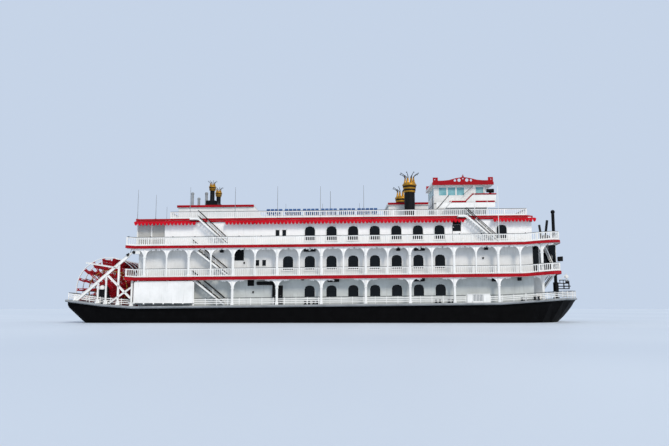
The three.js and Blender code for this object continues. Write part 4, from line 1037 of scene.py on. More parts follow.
# %% Carried-over nodes get their finishes
FINISHES = [
    # The house walls take the slightly darker white as painted shade
    (wall_enamel, ("second_house", "aft_house", "forward_house", "pilothouse", "pilothouse_base")),
    # The third deck's walls take the lighter white as painted light
    (lit_wall_enamel, ("third_house",)),
    # The main deck's walls take the darker white as painted shade
    (shaded_main_wall_enamel, ("main_house",)),
    (hull_plate, ("hull",)),
    (deck_paint, ("main_deck",)),
    (fitting_black, ("bow_mast", "bow_hoist", "searchlight", "searchlight_stand", "bow_boom")),
    (bare_steel, ("rudder_starboard", "rudder_centre", "rudder_port", "wheel_shaft")),
    (soot_black, ("pillow_block_starboard", "pillow_block_port")),
]
for paint, nodes in FINISHES:
    for node in nodes:
        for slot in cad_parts[node].material_slots:
            slot.material = paint

# %% [markdown]
# ## Doors
# The side doors open outwards on a long hinge rod. Each is a leaf with a dark pane over a white panel,
# and it rides on its own CAD body, so it swings with it. The port door is the starboard door seen in
# a mirror, as two doors from the same pattern would be.

# %% Side doors
def door(name, hinge_x, width, foot, head, sill, side, node):
    """A leaf from foot to head whose dark pane begins at sill."""
    z0, z1 = foot + rise(hinge_x), head + rise(hinge_x)
    sill += rise(hinge_x)
    middle = (z0 + z1) / 2
    x0, x1 = hinge_x + 0.014, hinge_x + width - 0.014
    thick = (-WALL, -WALL + 0.06)
    hinge_y = -WALL - 0.03
    parts = [
        block("pane", (x0 + 0.03, x1 - 0.03), (-WALL + 0.012, -WALL + 0.032), (sill - 0.05, z1 - 0.03),
              dark_glass),
        block("stile", (x0, x0 + 0.05), thick, (sill - 0.01, z1), fitting_black, 0.012),
        block("stile", (x1 - 0.05, x1), thick, (sill - 0.01, z1), fitting_black, 0.012),
        # The door's panels take the lighter white as painted light
        block("leaf_panel", (x0, x1), thick, (z0, sill), lit_wall_enamel, 0.012),
        block("raised_panel", (x0 + 0.16, x1 - 0.16), (-WALL - 0.012, -WALL + 0.01),
              (z0 + 0.15, sill - 0.12), lit_wall_enamel, 0.01),
        block("head_rail", (x0 + 0.045, x1 - 0.045), (-WALL + 0.002, -WALL + 0.058), (z1 - 0.06, z1),
              fitting_black, 0.012),
        rod("hinge_rod", (hinge_x, hinge_y, z0), (hinge_x, hinge_y, z1), 0.02, bare_steel, 12),
        rod("handle", (x1 - 0.05, hinge_y, middle), (x1 - 0.25, hinge_y, middle), 0.015, bare_steel, 8),
    ]
    for share in (0.12, 0.5, 0.88):
        z = z0 + (z1 - z0) * share
        parts.append(block("strap", (hinge_x, hinge_x + 0.2), (-WALL - 0.035, -WALL + 0.01),
                           (z - 0.04, z + 0.04), white_enamel, 0.008))
    leaf = join_up(name, parts)
    if side == "port":
        to_port(leaf)
    return settle(leaf, body=f"{node}_{side}", stands_for=[f"{node}_{side}"])


for side in ("starboard", "port"):
    door(f"main_door_leaf_{side}", -7.9, 0.9, MAIN_TOP + 0.13, 4.73, 3.2, side, "main_door")
    door(f"third_door_leaf_{side}", 15.85, 1.15, THIRD_TOP + 0.13, 12.83, 12.0, side, "third_door")

# %% [markdown]
# ## Awnings
# Red canvas awnings slope out from the sun deck's edge and hang down in scallops. Each is one sheet:
# a grid laid flat, its rows set to the slope and the drop, the lowest row waved. Cloth simulation
# was the other way. It isn't used, because these are laced tight to a frame and don't sag.

# %% Canvas
# Rows are y and z from the deck's edge outwards; the hem below the last one is waved by the scallops.
# Laid flat, the cloth is 0.66 m of slope and 0.39 m of drop across
AWNING_ROWS = [(-7.72, 13.71), (-8.05, 13.62), (-8.24, 13.56), (-8.3, 13.52), (-8.32, 13.48)]
HEM_Y, HEM_Z = -8.32, 13.47
SCALLOP_WIDTH, SCALLOP_DROP = 0.49, 0.38


def awning(name, aft, fore, side, nodes):
    """One sheet of canvas from aft to fore, with its hem in scallops."""
    count = round((fore - aft) / SCALLOP_WIDTH)
    steps = len(AWNING_ROWS)
    bpy.ops.object.select_all(action="DESELECT")
    bpy.ops.mesh.primitive_grid_add(x_subdivisions=count * 8, y_subdivisions=steps, size=1)
    sheet = set_down(bpy.context.object, name, canvas)
    for vertex in sheet.data.vertices:
        row = round((0.5 - vertex.co.y) * steps)
        x = aft + (vertex.co.x + 0.5) * (fore - aft)
        lobe = abs(math.sin(math.pi * (x - aft) / (fore - aft) * count))
        if row < steps:
            y, z = AWNING_ROWS[row]
        else:
            y, z = HEM_Y, HEM_Z - SCALLOP_DROP * lobe ** 0.6
        y -= 0.012 * math.sin(x * 5.1) * (row / steps)
        vertex.co = (x, y, z)
    sheet.data.update()
    pick(sheet)
    bpy.ops.object.mode_set(mode="EDIT")
    bpy.ops.mesh.select_all(action="SELECT")
    bpy.ops.mesh.normals_make_consistent(inside=False)
    bpy.ops.object.mode_set(mode="OBJECT")
    if side == "port":
        to_port(sheet)
    follow_sheer(sheet)
    apply_modifier(sheet, "SOLIDIFY", thickness=0.008, offset=0)
    settle(sheet, stands_for=nodes)
    return sheet


AWNINGS = {"aft": (-26.75, -18.5), "middle": (-14.6, 17.4), "fore": (21.2, 26.95)}
for side in ("starboard", "port"):
    for where, (aft, fore) in AWNINGS.items():
        awning(f"awning_{where}_{side}", aft, fore, side, [f"awning_{side}"])

fascia = block("sun_deck_fascia", (-26.7, 26.0), (-7.78, -7.68), (13.56, 13.78), red_enamel, 0.02)
settle(follow_sheer(both_sides(fascia)))

# %% [markdown]
# ## Stern truss and fantail
# The wheel hangs behind the hull, so a truss on each side ties the sponsons back to the decks. Its
# members are girders: a web with a flange along each edge, which catches the light as a line.

# %% Truss members
TRUSS_Y = -8.6
# Each member: x and z of one end, x and z of the other, and its depth
TRUSS_MEMBERS = [
    (-33.95, 2.8, -27.2, 8.79, 0.36), (-27.3, 8.7, -26.0, 9.85, 0.2), (-31.05, 2.6, -31.05, 5.3, 0.2),
    (-30.0, 2.6, -30.0, 6.2, 0.2), (-28.4, 2.6, -28.4, 7.6, 0.24), (-26.6, 2.6, -26.6, 5.9, 0.24),
    (-29.8, 6.15, -26.75, 3.2, 0.26), (-29.6, 2.5, -26.7, 4.6, 0.22), (-28.5, 7.15, -32.8, 7.85, 0.2),
]
TRUSS_FEET = (-33.95, -31.05, -30.0, -28.4, -26.6)


def girder(start, end, width, depth):
    """A web with a flange along its upper and its lower edge, in the plane of the truss."""
    a, b = Vector((start[0], TRUSS_Y, start[1])), Vector((end[0], TRUSS_Y, end[1]))
    along = (b - a).normalized()
    up = Vector((-along.z, 0, along.x))
    parts = [spar("web", a, b, width * 0.5, depth * 0.9, white_enamel, 0.01)]
    for side in (-1, 1):
        shift = up * side * (depth / 2 - 0.03)
        parts.append(spar("flange", a + shift, b + shift, width, 0.06, white_enamel, 0.012))
    return parts


members = []
for xa, za, xb, zb, depth in TRUSS_MEMBERS:
    members += girder((xa, za), (xb, zb), 0.22, depth)
for x in TRUSS_FEET:
    z = MAIN_TOP + rise(x)
    members.append(block("foot_plate", (x - 0.28, x + 0.28), (TRUSS_Y - 0.2, TRUSS_Y + 0.2), (z, z + 0.12),
                         white_enamel, 0.02))
    members.append(block("gusset", (x - 0.24, x + 0.24), (TRUSS_Y - 0.05, TRUSS_Y + 0.05), (z, z + 0.5),
                         white_enamel, 0.02))
z = THIRD_UNDER + rise(-26)
members.append(block("head_plate", (-26.3, -25.7), (TRUSS_Y - 0.16, TRUSS_Y + 0.16), (z - 0.75, z),
                     white_enamel, 0.03))
truss = both_sides(join_up("truss", members))
fantail = bar_rail("fantail", [(-26.6, -8.4), (-34.95, -8.4), (-34.95, -6.5), (-31.6, -6.5)], MAIN_TOP,
                   0.95)
follow_sheer(fantail)
settle(join_up("stern_truss", [truss, fantail]),
       stands_for=["stern_truss_starboard", "stern_truss_port"])

# %% [markdown]
# ## The paddle wheel
# Six arm frames stand on one shaft. A frame has eighteen arms, each a pair of red planks bolted to a
# cast hub plate, a gilded inner hoop and a pale outer rim. The bucket boards run right across the
# wheel. One arm is made and turned round the shaft eighteen times; one frame is made and copied.

# %% Hoops and hubs
WHEEL_X, WHEEL_Z = -30.75, 4.45
FRAME_YS = [-5.625, -3.375, -1.125, 1.125, 3.375, 5.625]
ARMS = 18
SHAFT_HOLE = 0.285


def hoop(name, outer, inner, y, thickness, paint, sides=72):
    """A flat ring round the shaft: a circle drawn in to a band, then drawn out to its thickness."""
    bpy.ops.object.select_all(action="DESELECT")
    bpy.ops.mesh.primitive_circle_add(vertices=sides, radius=outer, rotation=(math.pi / 2, 0, 0),
                                      location=(WHEEL_X, y - thickness / 2, WHEEL_Z))
    ring = set_down(bpy.context.object, name, paint)
    factor = inner / outer
    bpy.ops.object.mode_set(mode="EDIT")
    bpy.ops.mesh.select_all(action="SELECT")
    bpy.ops.mesh.extrude_region_move()
    bpy.ops.transform.resize(value=(factor, 1, factor), center_override=(WHEEL_X, y, WHEEL_Z))
    bpy.ops.mesh.select_all(action="SELECT")
    bpy.ops.mesh.extrude_region_move(TRANSFORM_OT_translate={"value": (0, thickness, 0)})
    bpy.ops.mesh.select_all(action="SELECT")
    bpy.ops.mesh.normals_make_consistent(inside=False)
    bpy.ops.object.mode_set(mode="OBJECT")
    return ring


def round_the_shaft(piece, count):
    """Copies of the piece at equal angles round the wheel's shaft, joined."""
    centre = Matrix.Translation((WHEEL_X, 0, WHEEL_Z))
    copies = [piece]
    for i in range(1, count):
        copy = copy_of(piece, "copy")
        copy.data.transform(centre @ Matrix.Rotation(2 * math.pi * i / count, 4, "Y") @ centre.inverted())
        copies.append(copy)
    return join_up(piece.name, copies)


def arm_frame():
    """Eighteen arms of two planks each, with their rim, hoop, hub and bolts, at y = 0."""
    planks = [spar("plank", (WHEEL_X + 0.5, 0, WHEEL_Z + z), (WHEEL_X + 4.28, 0, WHEEL_Z + z), 0.13, 0.085,
                   wheel_enamel, 0.008) for z in (-0.087, 0.087)]
    for r in (1.1, 2.0, 3.0, 4.05):
        planks.append(block("distance_piece", (WHEEL_X + r - 0.08, WHEEL_X + r + 0.08), (-0.06, 0.06),
                            (WHEEL_Z - 0.06, WHEEL_Z + 0.06), wheel_enamel))
    arms = round_the_shaft(join_up("arm", planks), ARMS)
    bolt = rod("bolt", (WHEEL_X + 0.62, -0.1, WHEEL_Z), (WHEEL_X + 0.62, 0.1, WHEEL_Z), 0.035,
               bare_steel, 6)
    parts = [
        arms,
        hoop("rim", 4.35, 4.26, 0, 0.14, white_enamel),
        hoop("inner_hoop", 2.6, 2.54, 0, 0.15, gold_paint),
        hoop("hub_plate", 0.76, SHAFT_HOLE, 0, 0.16, wheel_enamel, 36),
        hoop("hub_boss", 0.45, SHAFT_HOLE, 0, 0.3, wheel_enamel, 36),
        round_the_shaft(bolt, ARMS),
    ]
    return join_up("arm_frame", parts)


frame_pattern = arm_frame()
for number, y in enumerate(FRAME_YS, 1):
    copy = copy_of(frame_pattern, f"arm_frame_{number}", (0, y, 0))
    settle(copy, body="paddle_wheel", stands_for=[f"wheel_frame_{number}"])
bpy.data.objects.remove(frame_pattern)

# %% Bucket boards
plank_parts = []
for inner, outer in ((3.4, 3.78), (3.82, 4.2)):
    plank_parts.append(block("bucket", (WHEEL_X + inner, WHEEL_X + outer), (-5.85, 5.85),
                             (WHEEL_Z + 0.132, WHEEL_Z + 0.205), wheel_enamel, 0.012))
for y in FRAME_YS:
    for radius in (3.6, 4.0):
        plank_parts.append(block("clamp", (WHEEL_X + radius - 0.03, WHEEL_X + radius + 0.03),
                                 (y - 0.13, y + 0.13), (WHEEL_Z + 0.2, WHEEL_Z + 0.225), bare_steel))
boards = round_the_shaft(join_up("bucket", plank_parts), ARMS)
boards = join_up("bucket_boards", [boards, hoop("tie_hoop", 3.84, 3.74, 0, 0.07, white_enamel)])
settle(boards, body="paddle_wheel", stands_for=["wheel_boards"])

# %% [markdown]
# ## Chimneys and crowns
# The stacks wear crowns: a swelling gold collar with black bands, eight gold teeth, and on each tooth
# a thin black horn that curls out to a little ball. The collar is turned. A horn is a curve with a
# round section, thinner to its end, which bends more evenly than a row of cut cylinders.

# %% Crowns
def horn(name, points, thick, thin, paint):
    """A curve through the points with a round section, from thick to thin."""
    curve = bpy.data.curves.new(name, "CURVE")
    curve.dimensions = "3D"
    curve.bevel_depth = 1.0
    curve.bevel_resolution = 2
    curve.resolution_u = 5
    curve.use_fill_caps = True
    line = curve.splines.new("BEZIER")
    line.bezier_points.add(len(points) - 1)
    for point, where, share in zip(line.bezier_points, points, np.linspace(0, 1, len(points))):
        point.co = where
        point.handle_left_type = point.handle_right_type = "AUTO"
        point.radius = thick + (thin - thick) * share
    piece = bpy.data.objects.new(name, curve)
    bpy.context.scene.collection.objects.link(piece)
    pick(piece)
    bpy.ops.object.convert(target="MESH")
    piece = bpy.context.object
    piece.data.materials.clear()
    piece.data.materials.append(paint)
    return piece


# Outlines of the collar and of its two black bands, as shares of the stack's radius and the crown's height
COLLAR = [(1.0, -0.45), (1.12, -0.43), (1.15, -0.32), (1.05, -0.3), (1.05, -0.22), (1.2, -0.2),
          (1.22, -0.08), (1.12, -0.06), (1.12, 0.02), (1.3, 0.04), (1.4, 0.1), (1.34, 0.16), (1.14, 0.26),
          (0.98, 0.27), (0.9, 0.08)]
COLLAR_BANDS = [(-0.31, -0.21, 1.17), (-0.07, 0.03, 1.27)]
TEETH = 8


def crown(x, y, base, radius, tip, reach):
    """A collar from base upwards, eight teeth with horns to the height tip at reach from the middle."""
    height = tip - base
    profile = [(radius * wide, base + height * up) for wide, up in COLLAR]
    parts = [turned("collar", x, y, profile, gold_paint, 32)]
    for low, high, wide in COLLAR_BANDS:
        foot, head = base + height * low, base + height * high
        parts.append(turned("band", x, y, [(radius * wide * 0.9, foot), (radius * wide, foot + 0.01),
                                           (radius * wide, head - 0.01), (radius * wide * 0.9, head)],
                            soot_black, 32))
    for i in range(TEETH):
        angle = 2 * math.pi * (i + 0.5) / TEETH

        def at(r, up):
            return (x + r * math.cos(angle), y + r * math.sin(angle), base + height * up)

        parts.append(horn("tooth", [at(radius * 0.96, 0.16), at(radius * 0.9, 0.42),
                                    at(radius * 0.84, 0.76)], radius * 0.27, radius * 0.05, gold_paint))
        parts.append(horn("horn", [at(radius * 0.9, 0.5), at(radius * 0.92, 0.72), at(reach * 0.74, 0.88),
                                   at(reach, 0.98)], radius * 0.1, radius * 0.035, soot_black))
        ball_x, ball_y, _ = at(reach, 1)
        bpy.ops.object.select_all(action="DESELECT")
        bpy.ops.mesh.primitive_uv_sphere_add(segments=10, ring_count=6, radius=radius * 0.11,
                                             location=(ball_x, ball_y, tip - radius * 0.1))
        parts.append(set_down(bpy.context.object, "ball", soot_black))
    return join_up("crown", parts)


# %% Stacks
def stack(name, x, y, foot, top, radius):
    """A black column with a foot ring and two weld bands."""
    parts = [turned("column", x, y, [
        (radius * 1.14, foot), (radius * 1.14, foot + 0.2), (radius * 1.04, foot + 0.26),
        (radius, foot + 0.3), (radius, top - 0.02), (radius * 0.9, top)], soot_black, 40)]
    for share in (0.3, 0.62):
        z = foot + (top - foot) * share
        parts.append(turned("weld_band", x, y, [(radius * 0.99, z), (radius * 1.02, z + 0.01),
                                                (radius * 1.02, z + 0.08), (radius * 0.99, z + 0.09)],
                            soot_black, 40))
    return join_up(name, parts)


CHIMNEY_X, CHIMNEY_RADIUS = 10.4, 0.72
lift = rise(CHIMNEY_X)
for side, y in (("starboard", -5.5), ("port", 5.5)):
    chimney = stack(f"stack_{side}", CHIMNEY_X, y, SUN_TOP, 18.2, CHIMNEY_RADIUS)
    settle(moved(chimney, 0, 0, lift), stands_for=[f"chimney_{side}"])
    top = crown(CHIMNEY_X, y, 18.5, CHIMNEY_RADIUS, 20.4, 1.3)
    settle(moved(top, 0, 0, lift), stands_for=[f"chimney_{side}_crown"])
    top.name = f"stack_crown_{side}"

# %% Small funnels on their housing
FUNNEL_X = -17.5
housing = [
    block("box", (-18.1, -16.7), (-2.9, 2.9), (16.42, 17.18), fitting_black, 0.04),
    block("lid", (-18.16, -16.64), (-2.96, 2.96), (17.12, 17.22), fitting_black, 0.02),
    block("plinth", (-20.7, -18.0), (-2.4, 2.4), (16.42, 16.6), fitting_black, 0.03),
]
lift = rise(FUNNEL_X)
settle(moved(join_up("funnel_housing", housing), 0, 0, lift),
       stands_for=["funnel_base"])
for side, y in (("starboard", -2.5), ("port", 2.5)):
    small = join_up(f"small_funnel_{side}", [stack("column", FUNNEL_X, y, 17.15, 19.0, 0.32),
                                             crown(FUNNEL_X, y, 19.2, 0.38, 20.16, 0.66)])
    settle(moved(small, 0, 0, lift), stands_for=[f"funnel_{side}"])

# %% [markdown]
# ## Roof houses and pilothouse
# The roof houses are plain steel boxes with a red fascia under a white roof. The pilothouse looks out
# through wide teal panes, and its roof carries a cut-out crest with scrolls, as shop fronts of the
# time had. The scrolls are round holes through a thin board, each with a ring set round it.

# %% Red fascias
def roof_band(name, x, half, z):
    """A red band whose top, underside and ends are white."""
    band = block(name, x, (-half, half), z, red_enamel, 0.025)
    paint_faces(band, wall_enamel, lambda n: abs(n.z) > 0.9 or abs(n.x) > 0.9)
    return band


bands = [
    roof_band("aft_band", (-22.1, -11.3), 4.2, (16.13, 16.46)),
    roof_band("forward_band", (7.5, 13.2), 4.2, (16.22, 16.53)),
]
# The slope hides the vertical front of the aft house's solid and meets the band's lower edge
slope = block("sloping_front", (-12.3, -9.5), (-4.02, 4.02), (SUN_TOP, 16.14), wall_enamel)
trim(slope, (-11.24, 0, 16.14), (0.8, 0, 0.6))
settle(follow_sheer(slope))
settle(follow_sheer(join_up("roof_fascias", bands)))

# %% Pilothouse glass and frames
PILOT_AFT, PILOT_FORE, PILOT_HALF = 14.2, 21.5, 2.8
SIDE_WINDOWS = [(14.93, 15.98), (16.2, 17.25), (17.47, 18.52), (20.2, 21.25)]
GLASS_FOOT, GLASS_HEAD = 17.7, 18.87
GLASS = (GLASS_FOOT, GLASS_HEAD)
GLASS_RAILS = ((GLASS_FOOT - 0.07, GLASS_FOOT + 0.01), (GLASS_HEAD - 0.01, GLASS_HEAD + 0.07))


def in_wall(wall, out, near, far):
    """From near to far inside a wall, whose outer side is out."""
    return sorted((wall - out * near, wall - out * far))


panes = []
for x0, x1 in SIDE_WINDOWS:
    for y in (-PILOT_HALF, PILOT_HALF):
        out = math.copysign(1, y)
        frame_y = in_wall(y, out, -0.03, 0.1)
        panes.append(block("pane", (x0, x1), in_wall(y, out, 0.05, 0.08), GLASS, teal_glass))
        for z in GLASS_RAILS:
            panes.append(block("frame", (x0 - 0.06, x1 + 0.06), frame_y, z, white_enamel, 0.015))
        for x in (x0 - 0.06, x1):
            panes.append(block("frame", (x, x + 0.06), frame_y, (GLASS_FOOT - 0.05, GLASS_HEAD + 0.05),
                               white_enamel, 0.015))
for i in range(3):
    y = -2.45 + i * 1.75
    for x, out in ((PILOT_AFT, -1), (PILOT_FORE, 1)):
        panes.append(block("pane", in_wall(x, out, 0.05, 0.08), (y, y + 1.4), GLASS, teal_glass))
        for z in GLASS_RAILS:
            panes.append(block("frame", in_wall(x, out, -0.03, 0.1), (y - 0.06, y + 1.46), z,
                               white_enamel, 0.015))
settle(follow_sheer(join_up("pilothouse_glazing", panes)))

# %% Roof with its crest
roof_parts = [roof_band("roof", (13.9, 22.65), 3.4, (19.1, 19.52))]
paint_faces(roof_parts[0], white_enamel, lambda n: n.z < -0.9)
# The upper edge of the crest's fore half as x and z, and the holes as x, z and radius
CREST_HALF = [(18.28, 20.55), (18.45, 20.22), (19.3, 20.08), (20.3, 19.82), (21.2, 19.74)]
CREST_LOW, CREST_HIGH, ABOVE_CREST = 19.74, 20.2, 21.0
SCROLL_HOLES = [(18.28, 20.02, 0.11), (18.83, 19.8, 0.25), (19.42, 19.76, 0.18), (17.73, 19.8, 0.25),
                (17.14, 19.76, 0.18), (22.27, 19.9, 0.08), (14.28, 19.9, 0.08)]


def crest_board(y):
    """A board whose upper edge slopes up to the middle ever steeper, with round holes cut through."""
    board = block("crest", (14.0, 22.56), (y - 0.04, y + 0.04), (19.5, 20.55), red_enamel)
    across = (y - 0.2, y + 0.2)
    middle = CREST_HALF[0][0]
    for (xa, za), (xb, zb) in zip(CREST_HALF, CREST_HALF[1:]):
        for side in (1, -1):
            near, far = middle + side * (xa - middle), middle + side * (xb - middle)
            wedge = block("wedge", sorted((near, far)), across, (CREST_LOW, ABOVE_CREST), None)
            trim(wedge, (near, y, za), (side * (zb - za), 0, -(xb - xa)))
            cut_with(board, wedge)
    for x, low in (((21.19, 21.85), CREST_LOW), ((14.71, 15.37), CREST_LOW),
                   ((21.84, 22.6), CREST_HIGH), ((13.9, 14.72), CREST_HIGH)):
        cut_with(board, block("gap", x, across, (low, ABOVE_CREST), None))
    for x, z, radius in SCROLL_HOLES:
        cut_with(board, disc("scroll_hole", x, y, z, radius, 0.6, None, 20))
    return board


for y in (-3.36, 3.36):
    roof_parts.append(crest_board(y))
    roof_parts.append(horn("finial", [(18.28, y, 20.3), (18.28, y, 20.45), (18.28, y, 20.62)], 0.12, 0.02,
                           red_enamel))
    for x, z, radius in SCROLL_HOLES:
        bpy.ops.object.select_all(action="DESELECT")
        bpy.ops.mesh.primitive_torus_add(major_radius=radius + 0.02, minor_radius=0.035, major_segments=20,
                                         minor_segments=8, location=(x, y, z), rotation=(math.pi / 2, 0, 0))
        roof_parts.append(set_down(bpy.context.object, "scroll", red_enamel))
settle(follow_sheer(join_up("pilothouse_roof_dressed", roof_parts)),
       stands_for=["pilothouse_roof"])

# %% [markdown]
# ## The bow
# At the bow the galleries end in one more post on each side, and wind screens, one painted and two of
# tinted glass, shelter the stairs; the dark glass also paints the shade of the stairwells behind it.
# Screens are frames round a pane, made like the windows. The boarding gate on each side is a white
# bulwark with a grille of upright bars.

# %% Bow posts and screens
bow_parts = []
for foot, head, x, y in ((MAIN_TOP, SECOND_UNDER, 27.75, -7.5), (SECOND_TOP, THIRD_UNDER, 27.5, -8.3)):
    bow_parts.append(moved(post(foot, head, 0.17), x, y, 0))


def screen(x, y, foot, head, paint):
    """A thin framed screen along x, just clear of the decks at foot and head."""
    z = (foot + 0.05, head - 0.05)
    frame_y = (y - 0.045, y + 0.045)
    parts = [block("pane", x, (y - 0.015, y + 0.015), z, paint)]
    for end in x:
        parts.append(block("mullion", (end - 0.04, end + 0.04), frame_y, z, white_enamel, 0.012))
    for level in z:
        parts.append(block("rail", (x[0] - 0.04, x[1] + 0.04), frame_y, (level - 0.05, level + 0.05),
                           white_enamel, 0.012))
    return join_up("screen", parts)


bow_parts.append(screen((26.6, 28.2), -6.05, MAIN_TOP, SECOND_UNDER, wall_enamel))
# The two glass screens are tinted glass whose darkness also paints the shade of the stairwells
bow_parts.append(screen((26.6, 28.1), -5.15, SECOND_TOP, THIRD_UNDER, dark_glass))
bow_parts.append(screen((28.5, 30.8), -4.08, SECOND_TOP, THIRD_UNDER, dark_glass))
bow_parts.append(turned("bow_stanchion", 31.05, -2.5, [
    (0.16, SECOND_TOP), (0.16, SECOND_TOP + 0.1), (0.11, SECOND_TOP + 0.16), (0.11, THIRD_UNDER - 0.2),
    (0.18, THIRD_UNDER - 0.05), (0.18, THIRD_UNDER)], white_enamel, 14))
bow_parts.append(block("side_light", (30.5, 31.2), (-5.75, -5.45), (SECOND_TOP + 1.3, SECOND_TOP + 1.95),
                       fitting_black, 0.04))
settle(follow_sheer(both_sides(join_up("bow_posts_and_screens", bow_parts))))

# %% Tackle on the bow boom
# The CAD boom is a trunk and three beams. Its hook, sheave block and stay are too thin to be solids
tackle = [
    rod("post", (33.6, 0, 5.78), (33.6, 0, 6.85), 0.06, white_enamel, 10),
    rod("upper_beam", (32.5, 0, 5.93), (33.85, 0, 5.93), 0.06, fitting_black, 10),
    rod("strut", (32.6, 0, 5.5), (32.6, 0, 5.96), 0.05, fitting_black, 8),
    rod("strut", (33.1, 0, 5.5), (33.1, 0, 5.96), 0.05, fitting_black, 8),
    rod("stay", (32.6, 0, 5.95), (33.6, 0, 6.8), 0.045, white_enamel, 8),
    block("sheave_block", (33.35, 33.85), (-0.12, 0.12), (6.2, 6.6), white_enamel, 0.06),
]
settle(join_up("boom_tackle", tackle), body="bow_boom")

# %% Boarding gate
GATE_X, GATE_TOP = (17.4, 20.3), 3.57
SHEET_Y = (POST_Y - 0.1, POST_Y - 0.04)
gate = [
    block("gate_sheet", (GATE_X[0], 18.1), SHEET_Y, (MAIN_TOP, GATE_TOP), white_enamel, 0.015),
    block("gate_sheet", (19.45, GATE_X[1]), SHEET_Y, (MAIN_TOP, GATE_TOP), white_enamel, 0.015),
    block("gate_sill", (18.0, 19.5), SHEET_Y, (MAIN_TOP, 2.62), white_enamel, 0.015),
    block("gate_cap", (GATE_X[0] - 0.05, GATE_X[1] + 0.05), (POST_Y - 0.14, POST_Y),
          (GATE_TOP - 0.08, GATE_TOP), white_enamel, 0.02),
    in_a_row(block("gate_bar", (18.16, 18.24), (POST_Y - 0.08, POST_Y - 0.05), (2.6, GATE_TOP - 0.06),
                   white_enamel, 0.01), 7, (0.19, 0, 0)),
    block("gate_back", (18.08, 19.47), (POST_Y - 0.02, POST_Y + 0.01), (2.52, GATE_TOP - 0.1),
          guard_grey, 0.01),
]
gate_post = block("gate_post", (GATE_X[0] - 0.06, GATE_X[0] + 0.06), (POST_Y - 0.05, POST_Y + 0.07),
                  (MAIN_TOP, GATE_TOP + 0.03), white_enamel, 0.02)
gate.append(in_a_row(gate_post, 2, (2.9, 0, 0)))
settle(follow_sheer(both_sides(join_up("boarding_gates", gate))))

# %% [markdown]
# ## Porch, vents, doorways and lamps
# Behind the third deck's aft awning the cabin is set back as a porch, whose back is a grey sheet in
# painted shade. On the walls are black louvred vents and an open doorway, a black sheet of painted
# shade under a canvas hood. Under the decks hang black loud speakers and lamps. Each is a small turned
# piece or a softened block, and the railing's lamps are one piece in a row.

# %% Porch
# The porch's back is a grey sheet; its grey is painted shade of the set-back wall
porch_shade_grey = enamel("painted_shade_porch_grey", "#bcbbb6", "#aeada6", "#8f8e88", 0.3, patch=0.8)
porch = [block("porch_back_sheet", (-26.52, -22.7), (-7.38, -7.345), (THIRD_TOP + 0.02, SUN_UNDER - 0.02), porch_shade_grey)]
for x in (-26.5, -24.6, -22.75):
    porch.append(block("porch_post", (x - 0.09, x + 0.09), (-7.5, -7.3), (THIRD_TOP, SUN_UNDER),
                       white_enamel, 0.02))
porch.append(block("porch_rail", (-26.55, -22.7), (-7.44, -7.33), (11.3, 11.4), white_enamel, 0.02))
settle(follow_sheer(both_sides(join_up("third_deck_porch", porch))))


# %% Vents, doorway and hood
SLAT_STEP = 0.14


def louvre(x, z):
    """A black vent on the starboard wall: a box with level slats."""
    y, foot = -WALL - 0.08, z[0] + 0.1
    parts = [block("vent_box", x, (-WALL - 0.06, -WALL + 0.02), z, fitting_black, 0.02)]
    slat = spar("slat", (x[0] + 0.05, y, foot), (x[1] - 0.05, y, foot), 0.09, 0.03, soot_black, 0.008)
    parts.append(in_a_row(slat, int((z[1] - z[0]) / SLAT_STEP), (0, 0, SLAT_STEP)))
    return join_up("louvre", parts)


wall_parts = [
    louvre((-13.35, -12.1), (8.35, 9.85)), louvre((-11.55, -10.7), (4.95, 5.82)),
    block("transom", (15.89, 17.02), (-WALL - 0.03, -WALL + 0.01), (12.86, 13.76), fitting_black, 0.02),
    # The doorway is a flat black sheet: painted shade of the room inside
    block("doorway", (-8.05, -6.85), (-WALL - 0.012, -WALL + 0.01), (MAIN_TOP + 0.05, 4.98), fitting_black),
    block("hood", (-10.3, -8.05), (-WALL - 0.5, -WALL), (5.05, 5.5), fitting_black, 0.06),
    block("hood_end", (-8.25, -7.95), (-WALL - 0.3, -WALL), (3.3, 5.3), fitting_black, 0.03),
]
for x in (-13.45, -12.05):
    wall_parts.append(block("vent_frame", (x - 0.05, x + 0.05), (-WALL - 0.1, -WALL + 0.02), (8.3, 9.88),
                            white_enamel, 0.02))
settle(follow_sheer(both_sides(join_up("wall_vents_and_hoods", wall_parts))))


# %% Lamps and speakers under the decks
LAMP_Y = -8.05


def speaker_bar(x, z, width, height):
    """A black box on two hangers; a wide one has a pale lens."""
    parts = [block("speaker", (x - width / 2, x + width / 2), (LAMP_Y - 0.2, LAMP_Y + 0.2), (z - height, z),
                   fitting_black, 0.05)]
    for dx in (-width * 0.3, width * 0.3):
        parts.append(rod("hanger", (x + dx, LAMP_Y, z - 0.05), (x + dx, LAMP_Y, z + 0.2), 0.025,
                         fitting_black, 6))
    if width > 0.9:
        middle = z - height / 2
        parts.append(rod("lens", (x, LAMP_Y - 0.19, middle), (x, LAMP_Y - 0.215, middle), height * 0.3,
                         white_enamel, 14))
    return join_up("speaker", parts)


